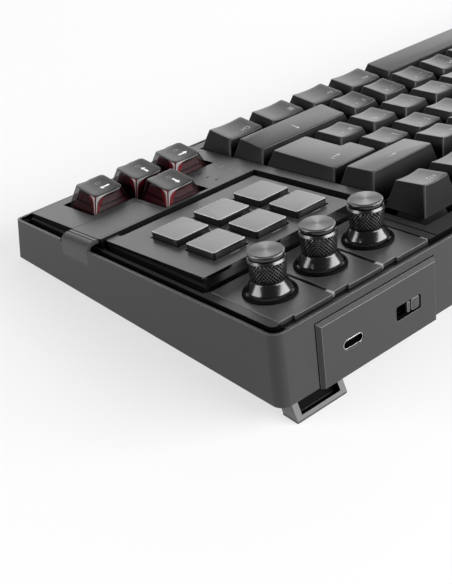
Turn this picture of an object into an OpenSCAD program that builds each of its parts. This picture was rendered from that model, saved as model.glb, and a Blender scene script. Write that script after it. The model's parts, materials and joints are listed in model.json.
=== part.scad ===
// Compact gaming keyboard with an arrow cluster, a macro key module and three control knobs.
// Everything is drawn level in the plane of the key rows. There x = 0 is the right edge of the main
// block, y = 0 the middle of the front row and z = 0 the lower edge of the resting keycaps.
// stand() then tips each piece onto the front pads and the opened rear feet.

/* [Key grid] */
// Pitch of one key unit
unit = 19.05; // [18.8:0.05:19.4]
// Extra room between the number row and the function row
function_gap = 3.75; // [3.5:0.25:9]
// Room between the main block and the arrow columns
arrow_gap = 9.5; // [9.5:0.25:14]

/* [Keycaps] */
// Room between two keycaps at their lower edges
cap_gap = 0.95; // [0.8:0.05:1.3]
// Inset of the top face from the key's unit at the sides
cap_side_inset = 3.2; // [2.6:0.1:3.4]
// Inset of the top face from the key's unit at the front
cap_front_inset = 3.5; // [2.8:0.1:3.8]
// Inset of the top face from the key's unit at the rear
cap_rear_inset = 2.6; // [2:0.1:3.2]
// Side wall of a keycap
cap_wall = 1.2; // [0.9:0.1:1.4]
// Roof of a keycap under its dish
cap_roof = 1.2; // [0.8:0.1:1.4]
// Corner cut of a keycap
cap_corner = 0.9; // [0.4:0.1:1.4]
// Depth of the finger dish in narrow keycaps
dish_depth = 0.6; // [0.2:0.1:0.8]
// Height of the front row keycaps
front_cap_h = 7.8; // [7.7:0.1:9]
// Height of the shift row keycaps
shift_cap_h = 7.7; // [7.6:0.1:9]
// Height of the home row keycaps
home_cap_h = 7.6; // [7.4:0.1:9]
// Height of the upper letter row keycaps
upper_cap_h = 7.6; // [7.4:0.1:9]
// Height of the number row keycaps
number_cap_h = 10.1; // [8:0.1:12]
// Height of the function row keycaps
function_cap_h = 10.35; // [8:0.05:12]
// Height of the arrow keycaps
arrow_cap_h = 7.95; // [7.4:0.05:9]
// Lean of the front and shift row tops, towards the rear
front_tilt = -7; // [-8:0.5:0]
// Lean of the arrow key tops, towards the rear
arrow_tilt = -7.5; // [-8:0.5:0]
// Lean of the number row tops, towards the typist
number_tilt = 3.5; // [0:0.5:6]
// Lean of the function row tops, towards the typist
function_tilt = 5; // [0:0.5:8]
// Press travel of a key
key_travel = 4; // [3:0.1:4]

/* [Switches] */
// Depth of the switch plate below the resting keycap edges
plate_drop = 6; // [5.8:0.1:7]
// Thickness of the switch plate
plate_t = 1.5; // [1:0.1:2]
// Width of a switch housing's flange on the plate
housing_flange = 15.6; // [15:0.1:15.8]
// Width of a switch housing below the plate
housing_body = 13.9; // [13.5:0.1:14.2]
// Width of a switch housing at its top
housing_top = 9.6; // [9:0.1:10]
// Height of a switch housing above the plate
housing_h = 6.4; // [5.5:0.1:6.4]
// Depth of a switch housing below the plate's top face
housing_depth = 5; // [4.5:0.1:6]
// Width of a key stem
stem_w = 5.4; // [4.5:0.1:5.6]
// Thickness of the circuit boards
board_t = 1.6; // [1:0.1:2]
// Distance from a wide key's middle to its stabilizer posts
stabilizer_reach = 11.9; // [11.5:0.1:12.4]
// Distance from the space bar's middle to its stabilizer posts
space_reach = 50; // [45:1:54]

/* [Body] */
// Body outside the main block on the left
left_margin = 8; // [7:0.5:20]
// Body outside the macro deck on the right
module_margin = 7.45; // [7.2:0.05:12]
// Body in front of the front row
front_margin = 7.5; // [4.5:0.5:20]
// Body behind the function row
rear_margin = 14.6; // [14:0.2:30]
// Wall of the lower body
wall = 2.2; // [1.8:0.1:2.4]
// Floor of the lower body
floor_t = 2.4; // [1.6:0.1:3]
// Radius of the body's rear corners
corner_r = 4; // [3:0.5:8]
// Radius of the body's front corners
front_corner_r = 2; // [1.5:0.5:8]
// Height of the body's rim over the resting keycap edges
rim_z = 0; // [-0.5:0.1:1]
// Width of the thin lip along the body's rim
rim_lip = 1; // [0.8:0.1:1.4]
// Depth of the body's underside at the front row
base_depth = 18.1; // [17.5:0.1:24]
// Fall of the underside towards the rear
base_slope = 3.5; // [2:0.1:5]
// Lean of the front wall
front_lean = 15; // [0:1:25]
// Height of the top cover round the letter keys
main_z = 0.3; // [0:0.1:0.8]
// Height of the arrow deck at the front row
nav_z = 1.35; // [0.6:0.05:1.5]
// Rise of the arrow deck towards the rear
nav_slope = 2.3; // [1:0.1:3]
// Height of the top cover round the function row and the knobs
rear_z = -1.45; // [-1.8:0.05:-1]
// Groove between the top cover and the side walls
side_groove = 2.9; // [1.6:0.1:3.4]
// Groove between the top cover and the rear wall
rear_groove = 4; // [2.5:0.1:5]
// Room between the key wells and the outer keycap units
well_clear = 0.8; // [0.5:0.1:1]
// Room between fixed pieces that fit into each other
seat_clear = 0.15; // [0.1:0.05:0.3]
// Room round pieces that move
run_clear = 0.4; // [0.3:0.05:0.5]

/* [Badge plate] */
// Front edge of the bare badge plate
badge_front = 12.9; // [12.5:0.1:14]
// Length of the badge plate from front to rear
badge_len = 16.2; // [14:0.1:16.6]
// Width of the badge plate on the top cover
badge_w = 34.4; // [28:0.2:34.6]
// Thickness of the badge plate
badge_t = 1.5; // [1:0.1:2]
// Radius of the badge plate's shoulder
badge_r = 3.5; // [3:0.5:5]
// Depth of the badge plate's tab on the right wall
badge_drop = 8; // [7:0.5:10]

/* [Macro module] */
// Room between the main block and the macro deck
deck_gap = 6; // [5:0.25:7]
// Width of the macro deck
deck_w = 71.2; // [70:0.2:72]
// Front edge of the macro deck
deck_front = 30.4; // [30.3:0.1:31.5]
// Length of the macro deck
deck_len = 53.6; // [52:0.2:54]
// Depth of the macro deck's front edge below the arrow deck
deck_sink = 0.8; // [0.3:0.1:1]
// Rise of the macro deck towards the rear
deck_slope = 2.2; // [1:0.1:3]
// Thickness of the macro deck
deck_t = 1.2; // [1:0.1:1.6]
// Width of the trough along the deck's front and left edges
trough_w = 2.8; // [1.6:0.1:3.2]
// Pitch of the macro keys across
macro_pitch_x = 18.95; // [18.5:0.05:19.5]
// Pitch of the macro keys from front to rear
macro_pitch_y = 18.8; // [18.5:0.05:19.5]
// Shift of the macro keys from the deck's middle
macro_shift = -1; // [-2:0.1:1]
// Middle of the front macro row, from the deck's front edge
macro_first = 20.6; // [18:0.1:22]
// Width of a macro key's cap
macro_cap = 14.5; // [13:0.1:15.5]
// Height of a macro key's cap over the deck
macro_rise = 2.4; // [2:0.1:3.5]
// Press travel of a macro key
macro_travel = 1.2; // [0.8:0.1:1.5]
// Thickness of the display panel
display_t = 2; // [1.5:0.1:2.5]

/* [Knobs] */
// Pitch of the three knobs
knob_pitch = 22.5; // [22:0.1:23.5]
// Shift of the knobs from the deck's middle
knob_shift = 0.3; // [-1:0.1:1]
// Shift of the knob row from the function row
knob_y_shift = 1; // [0:0.1:1.5]
// Diameter of a knob's flared skirt
skirt_d = 15; // [13:0.1:15.6]
// Diameter of a knob's waist
waist_d = 11; // [10:0.1:12]
// Diameter at the top of a knob's knurl
knurl_d = 12.6; // [12.2:0.1:13.5]
// Height of a knob
knob_h = 13.35; // [13.2:0.05:16]
// Height of a resting knob over its tile
knob_lift = 1.5; // [1.1:0.1:2]
// Height of a knob's skirt and waist below the knurl
knurl_z = 4.2; // [3.8:0.1:5]
// Length of the knurl
knurl_h = 6.1; // [5:0.1:6.5]
// Depth of the knurl
knurl_depth = 0.35; // [0.2:0.05:0.5]
// Knurl points round a knob
knurl_points = 40; // [24:2:60]
// Knurl bands up a knob
knurl_bands = 10; // [6:2:14]
// Diameter of an encoder shaft
shaft_d = 5; // [4:0.1:6]
// Radial room round an encoder shaft
shaft_clear = 0.08; // [0.05:0.01:0.1]
// Press travel of a knob
knob_travel = 0.5; // [0.3:0.1:0.6]
// Groove between the knob tiles
tile_gap = 1.4; // [1:0.1:2]
// Thickness of the knob tiles
tile_t = 1.6; // [1.2:0.1:2]
// Setback in the rear edge of each tile
tile_notch = 1; // [0.5:0.1:1.5]
// Outer diameter of the collar under each knob
collar_d = 17.8; // [17.2:0.1:19]
// Height of the collar under each knob
collar_h = 1; // [0.6:0.1:1.4]

/* [Rear panel] */
// Left edge of the rear panel, from the main block's right edge
panel_x = 14.2; // [12:0.2:16]
// Width of the rear panel
panel_w = 54; // [50:0.5:56]
// Top of the rear panel below the resting keycap edges
panel_drop = 3.4; // [3:0.1:5]
// How far the rear panel stands out of the rear wall
panel_proud = 1.2; // [0.8:0.1:2]
// Thickness of the rear panel
panel_t = 2.2; // [1.8:0.1:3]
// Middle of the charging port, across
port_x = 53.8; // [46:0.2:54]
// Height of the port and switch below the resting keycap edges
port_drop = 15.6; // [15.5:0.1:16]
// Width of the port's metal mouth
port_w = 8.94; // [8.5:0.02:9.2]
// Height of the port's metal mouth
port_h = 3.2; // [2.8:0.1:3.4]
// Middle of the mode switch, across
switch_x = 28; // [26:0.2:32]
// Width of the mode switch slot
slot_w = 12; // [10:0.1:13]
// Height of the mode switch slot
slot_h = 5.2; // [3.6:0.1:5.4]
// Width of the mode switch slider
slider_w = 6.4; // [5:0.1:6.6]
// Slide of the mode switch
slider_travel = 4.6; // [3:0.1:4.6]

/* [Feet] */
// Width of a flip foot
foot_w = 21.6; // [16:0.2:21.8]
// Outer side of a foot, from the body's side wall
foot_inset = 5; // [4.6:0.1:8]
// Length of a foot's sole
foot_sole = 6.6; // [5:0.1:6.8]
// Hinge of a foot, from the rear wall
hinge_inset = 5.5; // [5.2:0.1:6.5]
// Hinge of a foot above the underside
hinge_up = 2; // [1.8:0.1:2.4]
// Radius of a foot's hub
hub_r = 2.8; // [2.5:0.1:3]
// Diameter of a foot's hinge pins
pin_d = 3; // [2:0.1:3.4]
// Rear edge of the sole behind the hinge
foot_back = 6.3; // [5:0.1:6.5]
// Drop of the sole below the hinge
foot_drop = 9.4; // [8:0.1:9.6]
// Thickness of the rubber tip
tip_t = 0.9; // [0.6:0.1:1.5]
// Thickness of the rubber pads
pad_t = 1.2; // [0.8:0.1:2]
// Length of a rubber pad
pad_w = 24; // [12:1:40]
// Depth of a rubber pad
pad_d = 8; // [5:0.5:12]

/* [Hidden] */
$fn = 64;
eps = 0.01;
block_units = 15;
block_w = block_units * unit;
function row_y(row) = row * unit + (row > 4 ? function_gap : 0);
x_left = -block_w - left_margin;
x_right = deck_gap + deck_w + module_margin;
x_mid = (x_left + x_right) / 2;
y_front = -unit / 2 - front_margin;
y_rear = row_y(5) + unit / 2 + rear_margin;
function base_z(y) = -base_depth - y * tan(base_slope);

// Switch plate and board levels
plate_z = -plate_drop;
board_z = plate_z - housing_depth;

// Top cover outline and the step between its two levels
rim_rebate = 1.8;
rail_w = 0.9;
rail_z = -1.2;
cover_left = x_left + wall + side_groove;
cover_right = x_right - wall - side_groove;
cover_front = y_front + wall + seat_clear;
cover_rear = y_rear - wall - rear_groove;
step_y = row_y(4) + unit / 2 + function_gap / 2;
cover_r = corner_r - wall;
high = 20;
function nav_top(y) = nav_z + y * tan(nav_slope);

// Macro module
deck_left = deck_gap;
deck_right = deck_left + deck_w;
deck_rear = deck_front + deck_len;
deck_mid = (deck_left + deck_right) / 2;
macro_mid = deck_mid + macro_shift;
macro_flange = macro_cap + 1.8;
flange_t = 0.8;
pocket_wall = 2;
deck_z = nav_z + deck_front * tan(nav_slope) - deck_sink;
display_top = -deck_t - seat_clear - flange_t - macro_travel - run_clear;
display_w = 2 * macro_pitch_x + macro_flange + 1;
display_len = macro_pitch_y + macro_flange + 1;
display_y = macro_first + macro_pitch_y / 2;

// Knob row
knob_mid = deck_mid + knob_shift;
knob_y = row_y(5) + knob_y_shift;
tile_front = deck_rear + 0.8;
tile_floor = rear_z - tile_t;
tile_w = knob_pitch - tile_gap;
tile_more = 1;
tile_left = knob_mid - 1.5 * knob_pitch;
tile_right = knob_mid + 1.5 * knob_pitch;
knob_z = rear_z + knob_lift;
shaft_top = knob_z + knurl_z + knurl_h - 1.5;
encoder_w = 12;
encoder_h = 6.4;
bushing_r = shaft_d / 2 + 1.2;

// Rear panel and its board
port_z = -port_drop;
io_board_z = port_z - port_h / 2;
panel_bottom = base_z(y_rear) - 0.6;
panel_gap = 0.5;

// Feet, pads and the stance that they give
hinge_y = y_rear - hinge_inset;
hinge_z = base_z(hinge_y) + hinge_up;
sole_y = hinge_y + foot_back;
sole_z = hinge_z - foot_drop;
pad_y = y_front + 3;
pad_edge_z = base_z(pad_y) - pad_t * cos(base_slope);
tilt = atan2(pad_edge_z - sole_z, sole_y - pad_y + pad_t * sin(base_slope));
foot_reach = norm([foot_back, foot_drop]);
foot_mid = x_right - foot_inset - foot_w / 2;
pocket_front = hinge_y - foot_reach - 0.8;
pocket_rear = hinge_y + hub_r + 1.4;
pocket_top = hinge_z + 4.3;
pocket_roof = 1;
pin_len = 1.1;
housing_half = foot_w / 2 + run_clear + pin_len + 0.4;

// Front edge of the underside, and the rear and front reach of the standing object
lean = tan(front_lean);
front_base_y = (y_front - (rim_z + base_depth) * lean) / (1 + tan(base_slope) * lean);
function stood_y(y, z) = y * cos(tilt) - z * sin(tilt);
function stood_z(y, z) = y * sin(tilt) + z * cos(tilt);
reach_rear = max(stood_y(sole_y, sole_z), stood_y(y_rear + panel_proud, panel_bottom));
reach_front = stood_y(front_base_y, base_z(front_base_y));

// Screw places on the switch plate, in the clear lanes between the switch rows
screw_lanes = [row_y(0.5), step_y];
screw_columns = [-14, -9.5, -5, -0.5];
screw_places = [for (y = screw_lanes, c = screw_columns) [c * unit, y]];
boss_r = 2.1;
screw_r = 1;
head_r = 1.6;
head_h = 1.4;

// Key rows as lists of [first unit, width in units]
function run(start, count, width = 1) = [for (i = [0 : count - 1]) [start + i * width, width]];
front_row = concat(run(0, 3, 1.25), run(10, 3, 1.25));
shift_row = run(1.25, 11);
home_row = run(1.75, 12);
upper_row = run(1.5, 12);
number_row = run(0, 13);
function_row = concat(run(2, 4), run(6.5, 4), run(11, 3));
space_key = [3.75, 6.25];
right_ctrl = [13.75, 1.25];
left_shift = [0, 1.25];
right_shift = [12.25, 2.75];
caps_lock = [0, 1.75];
tab = [0, 1.5];
backspace = [13, 2];
escape = [0, 1];
f12 = [14, 1];
enter_front_u = 1.25;
enter_rear_u = 1.5;
function key_x(key) = -block_w + (key[0] + key[1] / 2) * unit;
enter_x = -enter_front_u * unit / 2;
enter_y = (row_y(2) + row_y(3)) / 2;

// Arrow keys as [column, row], in the order left, down, right, up
arrow_places = [[0, 0], [1, 0], [2, 0], [1, 1]];
function arrow_x(place) = arrow_gap + (place[0] + 0.5) * unit;

// Middle of every switch
switch_places = concat(
    [for (k = concat(front_row, [space_key, right_ctrl])) [key_x(k), row_y(0)]],
    [for (k = concat(shift_row, [left_shift, right_shift])) [key_x(k), row_y(1)]],
    [for (k = concat(home_row, [caps_lock])) [key_x(k), row_y(2)]],
    [for (k = concat(upper_row, [tab])) [key_x(k), row_y(3)]],
    [[enter_x, enter_y]],
    [for (k = concat(number_row, [backspace])) [key_x(k), row_y(4)]],
    [for (k = concat(function_row, [escape, f12])) [key_x(k), row_y(5)]],
    [for (p = arrow_places) [arrow_x(p), p[1] * unit]]);

// Stabilized keys as [middle, reach along x, reach along y]
stabilized = [
    [[key_x(right_shift), row_y(1)], stabilizer_reach, 0],
    [[key_x(backspace), row_y(4)], stabilizer_reach, 0],
    [[key_x(space_key), row_y(0)], space_reach, 0],
    [[enter_x, enter_y], 0, stabilizer_reach]];
guide_w = 6;
guide_slot = 3.6;
post_w = 2.8;
guide_h = 5.6;

// Stands the level model on its front pads and opened feet, centred over the origin
module stand() {
    translate([-x_mid, -(reach_rear + reach_front) / 2, -stood_z(sole_y, sole_z)])
        rotate([tilt, 0, 0])
            children();
}

// Prism along x from an outline in y and z, centred on x
module prism_x(points, length) {
    rotate([90, 0, 90])
        translate([0, 0, -length / 2])
            linear_extrude(length) polygon(points);
}

// Prism along y from an outline in x and z, centred on y
module prism_y(points, length) {
    rotate([90, 0, 0])
        translate([0, 0, -length / 2])
            linear_extrude(length) polygon(points);
}

// Flat rectangle with round corners between two opposite corners
module round_rect(low, high, r) {
    translate([low[0] + r, low[1]]) square([high[0] - low[0] - 2 * r, high[1] - low[1]]);
    translate([low[0], low[1] + r]) square([high[0] - low[0], high[1] - low[1] - 2 * r]);
    for (x = [low[0] + r, high[0] - r], y = [low[1] + r, high[1] - r])
        translate([x, y]) circle(r);
}

// Box between two opposite corners
module span(low, high) {
    translate(low) cube(high - low);
}

// Slot with round ends, lying along x
module stadium(w, h) {
    square([w - h, h], center = true);
    for (side = [-1, 1])
        translate([side * (w - h) / 2, 0]) circle(h / 2);
}

// Wedge of the body, drawn in from its outside by inset, from its raised floor up to top
module body_wedge(inset, lift, top) {
    low_y = front_base_y - 1;
    deep = 60;
    intersection() {
        translate([x_mid, 0, 0])
            prism_x([
                [low_y, top], [low_y, base_z(low_y) + lift],
                [y_rear, base_z(y_rear) + lift], [y_rear, top]], x_right - x_left);
        translate([0, 0, -deep])
            linear_extrude(2 * deep)
                round_rect([x_left + inset, front_base_y - 20], [x_right - inset, y_rear - inset],
                    corner_r - inset);
        translate([0, y_front + inset, rim_z]) rotate([-front_lean, 0, 0]) translate([0, 0, -deep])
            linear_extrude(2 * deep)
                round_rect([x_left + inset, 0], [x_right - inset, y_rear - y_front + deep],
                    max(front_corner_r - inset, 0.3));
    }
}

// Room in the underside for a folded foot
module foot_pocket(mid) {
    half = foot_w / 2 + run_clear;
    span([mid - half, pocket_front, base_z(y_rear) - 2], [mid + half, pocket_rear, pocket_top]);
}

// Walls round a foot's pocket
module foot_housing(mid) {
    span([mid - housing_half, pocket_front - 1.4, base_z(y_rear)],
        [mid + housing_half, y_rear - wall + eps, pocket_top + pocket_roof]);
}

foot_mids = [2 * x_mid - foot_mid, foot_mid];

// Lower body: an open wedge tray with screw bosses, foot pockets and a seat for the rear panel
module bottom_case() {
    color("#2b2b2d") stand() difference() {
        union() {
            difference() {
                body_wedge(0, 0, rim_z);
                body_wedge(wall, floor_t, rim_z + 1);
                // Rebate that leaves a thin lip along the rim
                intersection() {
                    body_wedge(rim_lip, 0, rim_z + 1);
                    span([x_left, y_front - 5, rim_z - rim_rebate], [x_right, y_rear, rim_z + 1]);
                }
            }
            intersection() {
                body_wedge(wall / 2, floor_t / 2, rim_z);
                union() {
                    for (p = screw_places)
                        translate([p[0], p[1], base_z(p[1]) + floor_t / 2])
                            cylinder(r = boss_r, h = plate_z - plate_t - base_z(p[1]) - floor_t / 2);
                    for (mid = foot_mids) foot_housing(mid);
                    io_standoffs();
                }
            }
        }
        for (p = screw_places)
            translate([p[0], p[1], plate_z - plate_t - 6])
                cylinder(r = screw_r + 0.05, h = 8);
        for (mid = foot_mids) {
            foot_pocket(mid);
            translate([mid, hinge_y, hinge_z]) rotate([0, 90, 0])
                cylinder(d = pin_d + 2 * run_clear, h = foot_w + 2 * (run_clear + pin_len), center = true);
        }
        panel_seat();
        on_nav()
            span([x_right - wall - 1, badge_front - seat_clear, -badge_drop - seat_clear],
                [x_right + 1, badge_front + badge_len + seat_clear, high]);
    }
}

// Posts that carry the port's board
module io_standoffs() {
    for (x = [panel_x + 4, port_x - 9])
        translate([x, y_rear - wall - 6, base_z(y_rear)])
            cylinder(r = 2, h = io_board_z - board_t - base_z(y_rear));
}

// Cut in the rear wall that the rear panel sits in, with windows for the port and the switch
module panel_seat() {
    depth = panel_t - panel_proud;
    span([panel_x - panel_gap, y_rear - depth, panel_bottom - 2],
        [panel_x + panel_w + panel_gap, y_rear + 1, -panel_drop + panel_gap]);
    translate([port_x, y_rear, port_z]) rotate([90, 0, 0])
        linear_extrude(wall * 3, center = true) stadium(port_w + 2 * seat_clear, port_h + 2 * seat_clear);
    span([switch_x - slot_w / 2 - 1, y_rear - wall - 1, port_z - slot_h / 2 - 0.6],
        [switch_x + slot_w / 2 + 1, y_rear + 1, port_z + slot_h / 2 + 0.6]);
}

// Key wells of the main block and of the arrow cluster
module key_wells() {
    c = well_clear;
    low = plate_z - 1;
    arrows = arrow_gap + 3 * unit;
    span([-block_w - c, -unit / 2 - c / 2, low], [c, step_y - function_gap / 4, high]);
    span([-block_w - c, row_y(5) - unit / 2 - c / 2, low], [c, row_y(5) + unit / 2 + c, high]);
    span([arrow_gap - c, -unit / 2 - c / 2, low], [arrows + c, unit / 2, high]);
    span([arrow_gap + unit - c, 0, low], [arrow_gap + 2 * unit + c, 1.5 * unit, high]);
}

// Plane of the arrow deck: origin at the front row, sloping up to the rear
module on_nav() {
    translate([0, 0, nav_z]) rotate([nav_slope, 0, 0]) children();
}

// Outline of the top cover, with tighter corners at the front than at the rear
module cover_outline() {
    front_r = max(front_corner_r - rim_lip - 0.3, 0.5);
    intersection() {
        round_rect([cover_left, cover_front - 20], [cover_right, cover_rear], cover_r);
        round_rect([cover_left, cover_front], [cover_right, cover_rear + 20], front_r);
    }
}

// Top cover: one moulded frame with key wells, a sloping arrow deck, a lower rear level, a bay for
// the macro module, a bed for the knob tiles and a pocket for the badge plate
module top_case() {
    seam = 0.5;
    rail = max(cover_right - 1.5, deck_right + 0.4);
    nav_left = well_clear;
    strip = tile_left - 3.5;
    color("#323234") stand() difference() {
        union() {
            translate([0, 0, plate_z]) linear_extrude(main_z - plate_z)
                cover_outline();
            intersection() {
                translate([(nav_left + cover_right) / 2, 0, 0])
                    prism_x([[cover_front, plate_z], [deck_rear, plate_z],
                        [deck_rear, nav_top(deck_rear)], [cover_front, nav_top(cover_front)]],
                        cover_right - nav_left);
                translate([0, 0, plate_z]) linear_extrude(high)
                    cover_outline();
            }
        }
        key_wells();
        // Lower level behind the letter keys and behind the macro module
        span([cover_left - 1, step_y, rear_z], [well_clear + eps, cover_rear + 1, high]);
        span([well_clear, deck_rear, rear_z], [cover_right + 1, cover_rear + 1, high]);
        // Low rail along the arrow deck
        span([cover_right - rail_w, cover_front - 1, rail_z], [cover_right + 1, deck_front, high]);
        // Lower rail beside the macro module, with a deep groove between them
        span([deck_right, deck_front - seat_clear, rear_z], [cover_right + 1, cover_rear + 1, high]);
        span([deck_right, deck_front + 0.4, rear_z - 2.6], [rail, deck_rear - 0.4, high]);
        // Bay of the macro module
        span([deck_left - seat_clear, deck_front - seat_clear, plate_z - 1],
            [deck_right + seat_clear, deck_rear + seat_clear, high]);
        // Bed of the knob tiles, with room for the encoders
        span([tile_left, deck_rear, tile_floor],
            [tile_right - tile_gap / 2 + tile_more + seat_clear, cover_rear + 1, high]);
        for (i = [-1 : 1])
            translate([knob_mid + i * knob_pitch, knob_y, plate_z - 1])
                linear_extrude(-plate_z) square(encoder_w + 1, center = true);
        // Room over the plate screws
        for (p = screw_places)
            translate([p[0], p[1], plate_z - 1]) cylinder(r = head_r + 0.4, h = head_h + 1.6);
        // Pocket of the badge plate
        on_nav()
            span([cover_right - badge_pocket_w, badge_front - seat_clear, -badge_t],
                [cover_right + 1, badge_front + badge_len + seat_clear, high]);
        // Seam of the strip beside the function row
        span([strip - seam, step_y + 1, rear_z - 0.6], [strip, cover_rear + 1, high]);
    }
}

badge_pocket_w = badge_w - wall - side_groove + seat_clear;

// Bare badge plate: a thin plate whose rounded shoulder runs down the right wall as a tab
module badge_plate() {
    left = x_right - badge_w;
    seam = 0.35;
    seams = [x_right - badge_r - 0.2, x_right - badge_r - 1.8];
    color("#39393b") stand() on_nav()
        translate([0, badge_front, 0]) rotate([90, 0, 0]) mirror([0, 0, 1]) linear_extrude(badge_len)
            difference() {
                union() {
                    translate([left, -badge_t]) square([badge_w - badge_r, badge_t]);
                    intersection() {
                        translate([x_right - badge_r, -badge_r]) difference() {
                            circle(badge_r);
                            circle(badge_r - badge_t);
                        }
                        translate([x_right - badge_r, -badge_r]) square(badge_r + 1);
                    }
                    translate([x_right - badge_t, -badge_drop]) square([badge_t, badge_drop - badge_r]);
                }
                for (x = seams)
                    translate([x - seam, -seam]) square([seam, 1]);
            }
}

// Light strips in the grooves beside the top cover
module light_diffusers() {
    t = side_groove - 0.6;
    color("#d9d9d6") stand() {
        for (x = [cover_right + 0.3, cover_left - 0.3 - t]) {
            span([x, y_front + corner_r, plate_z], [x + t, badge_front - 1, plate_z + 3]);
            span([x, badge_front + badge_len + 1, plate_z], [x + t, cover_rear - corner_r, plate_z + 3]);
        }
        span([cover_left + corner_r, cover_rear + 0.3, plate_z],
            [cover_right - corner_r, cover_rear + 0.3 + t, plate_z + 3]);
    }
}

// Outline of the steel plate and of the main board, with a margin round the switches
module switch_area(margin) {
    low = -unit / 2 - margin;
    translate([-block_w - margin, low]) square([block_w + 2 * margin, row_y(5) + unit + 2 * margin]);
    translate([-margin, low]) square([arrow_gap + 3 * unit + 2 * margin, 1.5 * unit + margin - low]);
}

// Steel plate that the switches clip into
module switch_plate() {
    color("#8b8d90") stand()
        translate([0, 0, plate_z - plate_t]) linear_extrude(plate_t) difference() {
            switch_area(well_clear + 0.2);
            for (p = switch_places)
                translate(p) square(housing_body + 0.2, center = true);
            for (p = screw_places)
                translate(p) circle(screw_r + 0.2);
        }
}

// Circuit board under the switches and the encoders
module main_board() {
    color("#1e3a2a") stand()
        translate([0, 0, board_z - board_t]) linear_extrude(board_t) difference() {
            union() {
                switch_area(well_clear);
                translate([0, -unit / 2])
                    square([tile_right - 2, knob_y + encoder_w / 2 + 1 + unit / 2]);
            }
            for (p = screw_places)
                translate(p) circle(boss_r + 0.3);
        }
}

// One switch housing, with its origin on the plate's top face
module switch_housing() {
    lip = 1;
    difference() {
        union() {
            translate([0, 0, -housing_depth / 2])
                cube([housing_body, housing_body, housing_depth], center = true);
            translate([0, 0, lip / 2]) cube([housing_flange, housing_flange, lip], center = true);
            intersection() {
                prism_x([[-housing_body / 2, 0], [housing_body / 2, 0],
                    [housing_top / 2, housing_h], [-housing_top / 2, housing_h]], housing_body);
                prism_y([[-housing_body / 2, 0], [housing_body / 2, 0],
                    [housing_top / 2, housing_h], [-housing_top / 2, housing_h]], housing_body);
            }
        }
        translate([0, 0, housing_h])
            cube([stem_w + 2 * run_clear, stem_w + 2 * run_clear, 2 * housing_h + 4], center = true);
    }
}

// All switch housings
module switch_housings() {
    color("#9c1d22") stand()
        for (p = switch_places)
            translate([p[0], p[1], plate_z]) switch_housing();
}

// Guides of the stabilized keys and the wire that ties each pair
module stabilizers() {
    wire_r = 0.8;
    color("#202022") stand()
        for (s = stabilized) translate([s[0][0], s[0][1], plate_z]) {
            along = s[1] > 0 ? [1, 0] : [0, 1];
            across = [along[1], along[0]];
            reach = max(s[1], s[2]);
            for (side = [-1, 1]) translate(side * reach * along) difference() {
                translate([-guide_w / 2, -guide_w / 2, 0]) cube([guide_w, guide_w, guide_h]);
                translate([-guide_slot / 2, -guide_slot / 2, 0.8]) cube([guide_slot, guide_slot, guide_h]);
            }
            offset_w = housing_flange / 2 + wire_r + 0.3;
            wire_half = reach - guide_w / 2 - 0.2;
            translate([across[0] * offset_w, -across[1] * offset_w, wire_r])
                rotate(s[1] > 0 ? [0, 90, 0] : [90, 0, 0])
                    cylinder(r = wire_r, h = 2 * wire_half, center = true, $fn = 24);
        }
}

// Screws that hold the plate on the lower body's bosses
module plate_screws() {
    color("#77797c") stand()
        for (p = screw_places) translate([p[0], p[1], plate_z]) {
            difference() {
                cylinder(r = head_r, h = head_h);
                translate([0, 0, head_h]) cube([0.5, 2, 1], center = true);
                translate([0, 0, head_h]) cube([2, 0.5, 1], center = true);
            }
            translate([0, 0, -plate_t - 5]) cylinder(r = screw_r, h = plate_t + 5);
        }
}

// Deck plane of the macro module: origin at the middle of its front edge, sloping up to the rear
module on_deck() {
    translate([macro_mid, deck_front, deck_z]) rotate([deck_slope, 0, 0]) children();
}

// Block of the macro module, closed below the deck, with a pocket for the display and the keys
module module_body() {
    inset = 0.5;
    low = deck_front + inset;
    back = deck_rear - inset;
    rise = tan(deck_slope);
    under = deck_t / cos(deck_slope);
    color("#0d0d0e") stand() difference() {
        translate([deck_mid, 0, 0])
            prism_x([
                [low, board_z], [back, board_z],
                [back, deck_z + (back - deck_front) * rise - under],
                [low, deck_z + (low - deck_front) * rise - under]], deck_w - 2 * inset);
        on_deck()
            translate([-display_w / 2 - seat_clear, display_y - display_len / 2 - seat_clear,
                display_top - display_t])
                cube([display_w + 2 * seat_clear, display_len + 2 * seat_clear, 10]);
    }
}

// Satin deck plate with six key openings, short of its bay by a trough at the front and on the left
module macro_deck() {
    left = deck_left - macro_mid;
    long = deck_len / cos(deck_slope);
    trough_end = deck_w - 6.4;
    color("#4a4a4c") stand() on_deck() translate([0, 0, -deck_t]) linear_extrude(deck_t) difference() {
        round_rect([left, 0], [left + deck_w, long], 1.2);
        for (p = macro_places)
            translate(p) square(macro_cap + 2 * run_clear, center = true);
        translate([left - 1, -1]) {
            square([trough_end + 1, trough_w + 1]);
            square([trough_w + 1, long + 2]);
        }
        translate([left + trough_end, trough_w / 2]) circle(trough_w / 2);
    }
}

macro_places = [for (row = [0, 1], col = [-1 : 1]) [col * macro_pitch_x, macro_first + row * macro_pitch_y]];

// Display panel under the macro keys
module display_panel() {
    color("#3c4046") stand() on_deck()
        translate([-display_w / 2, display_y - display_len / 2, display_top - display_t])
            cube([display_w, display_len, display_t]);
}

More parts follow.
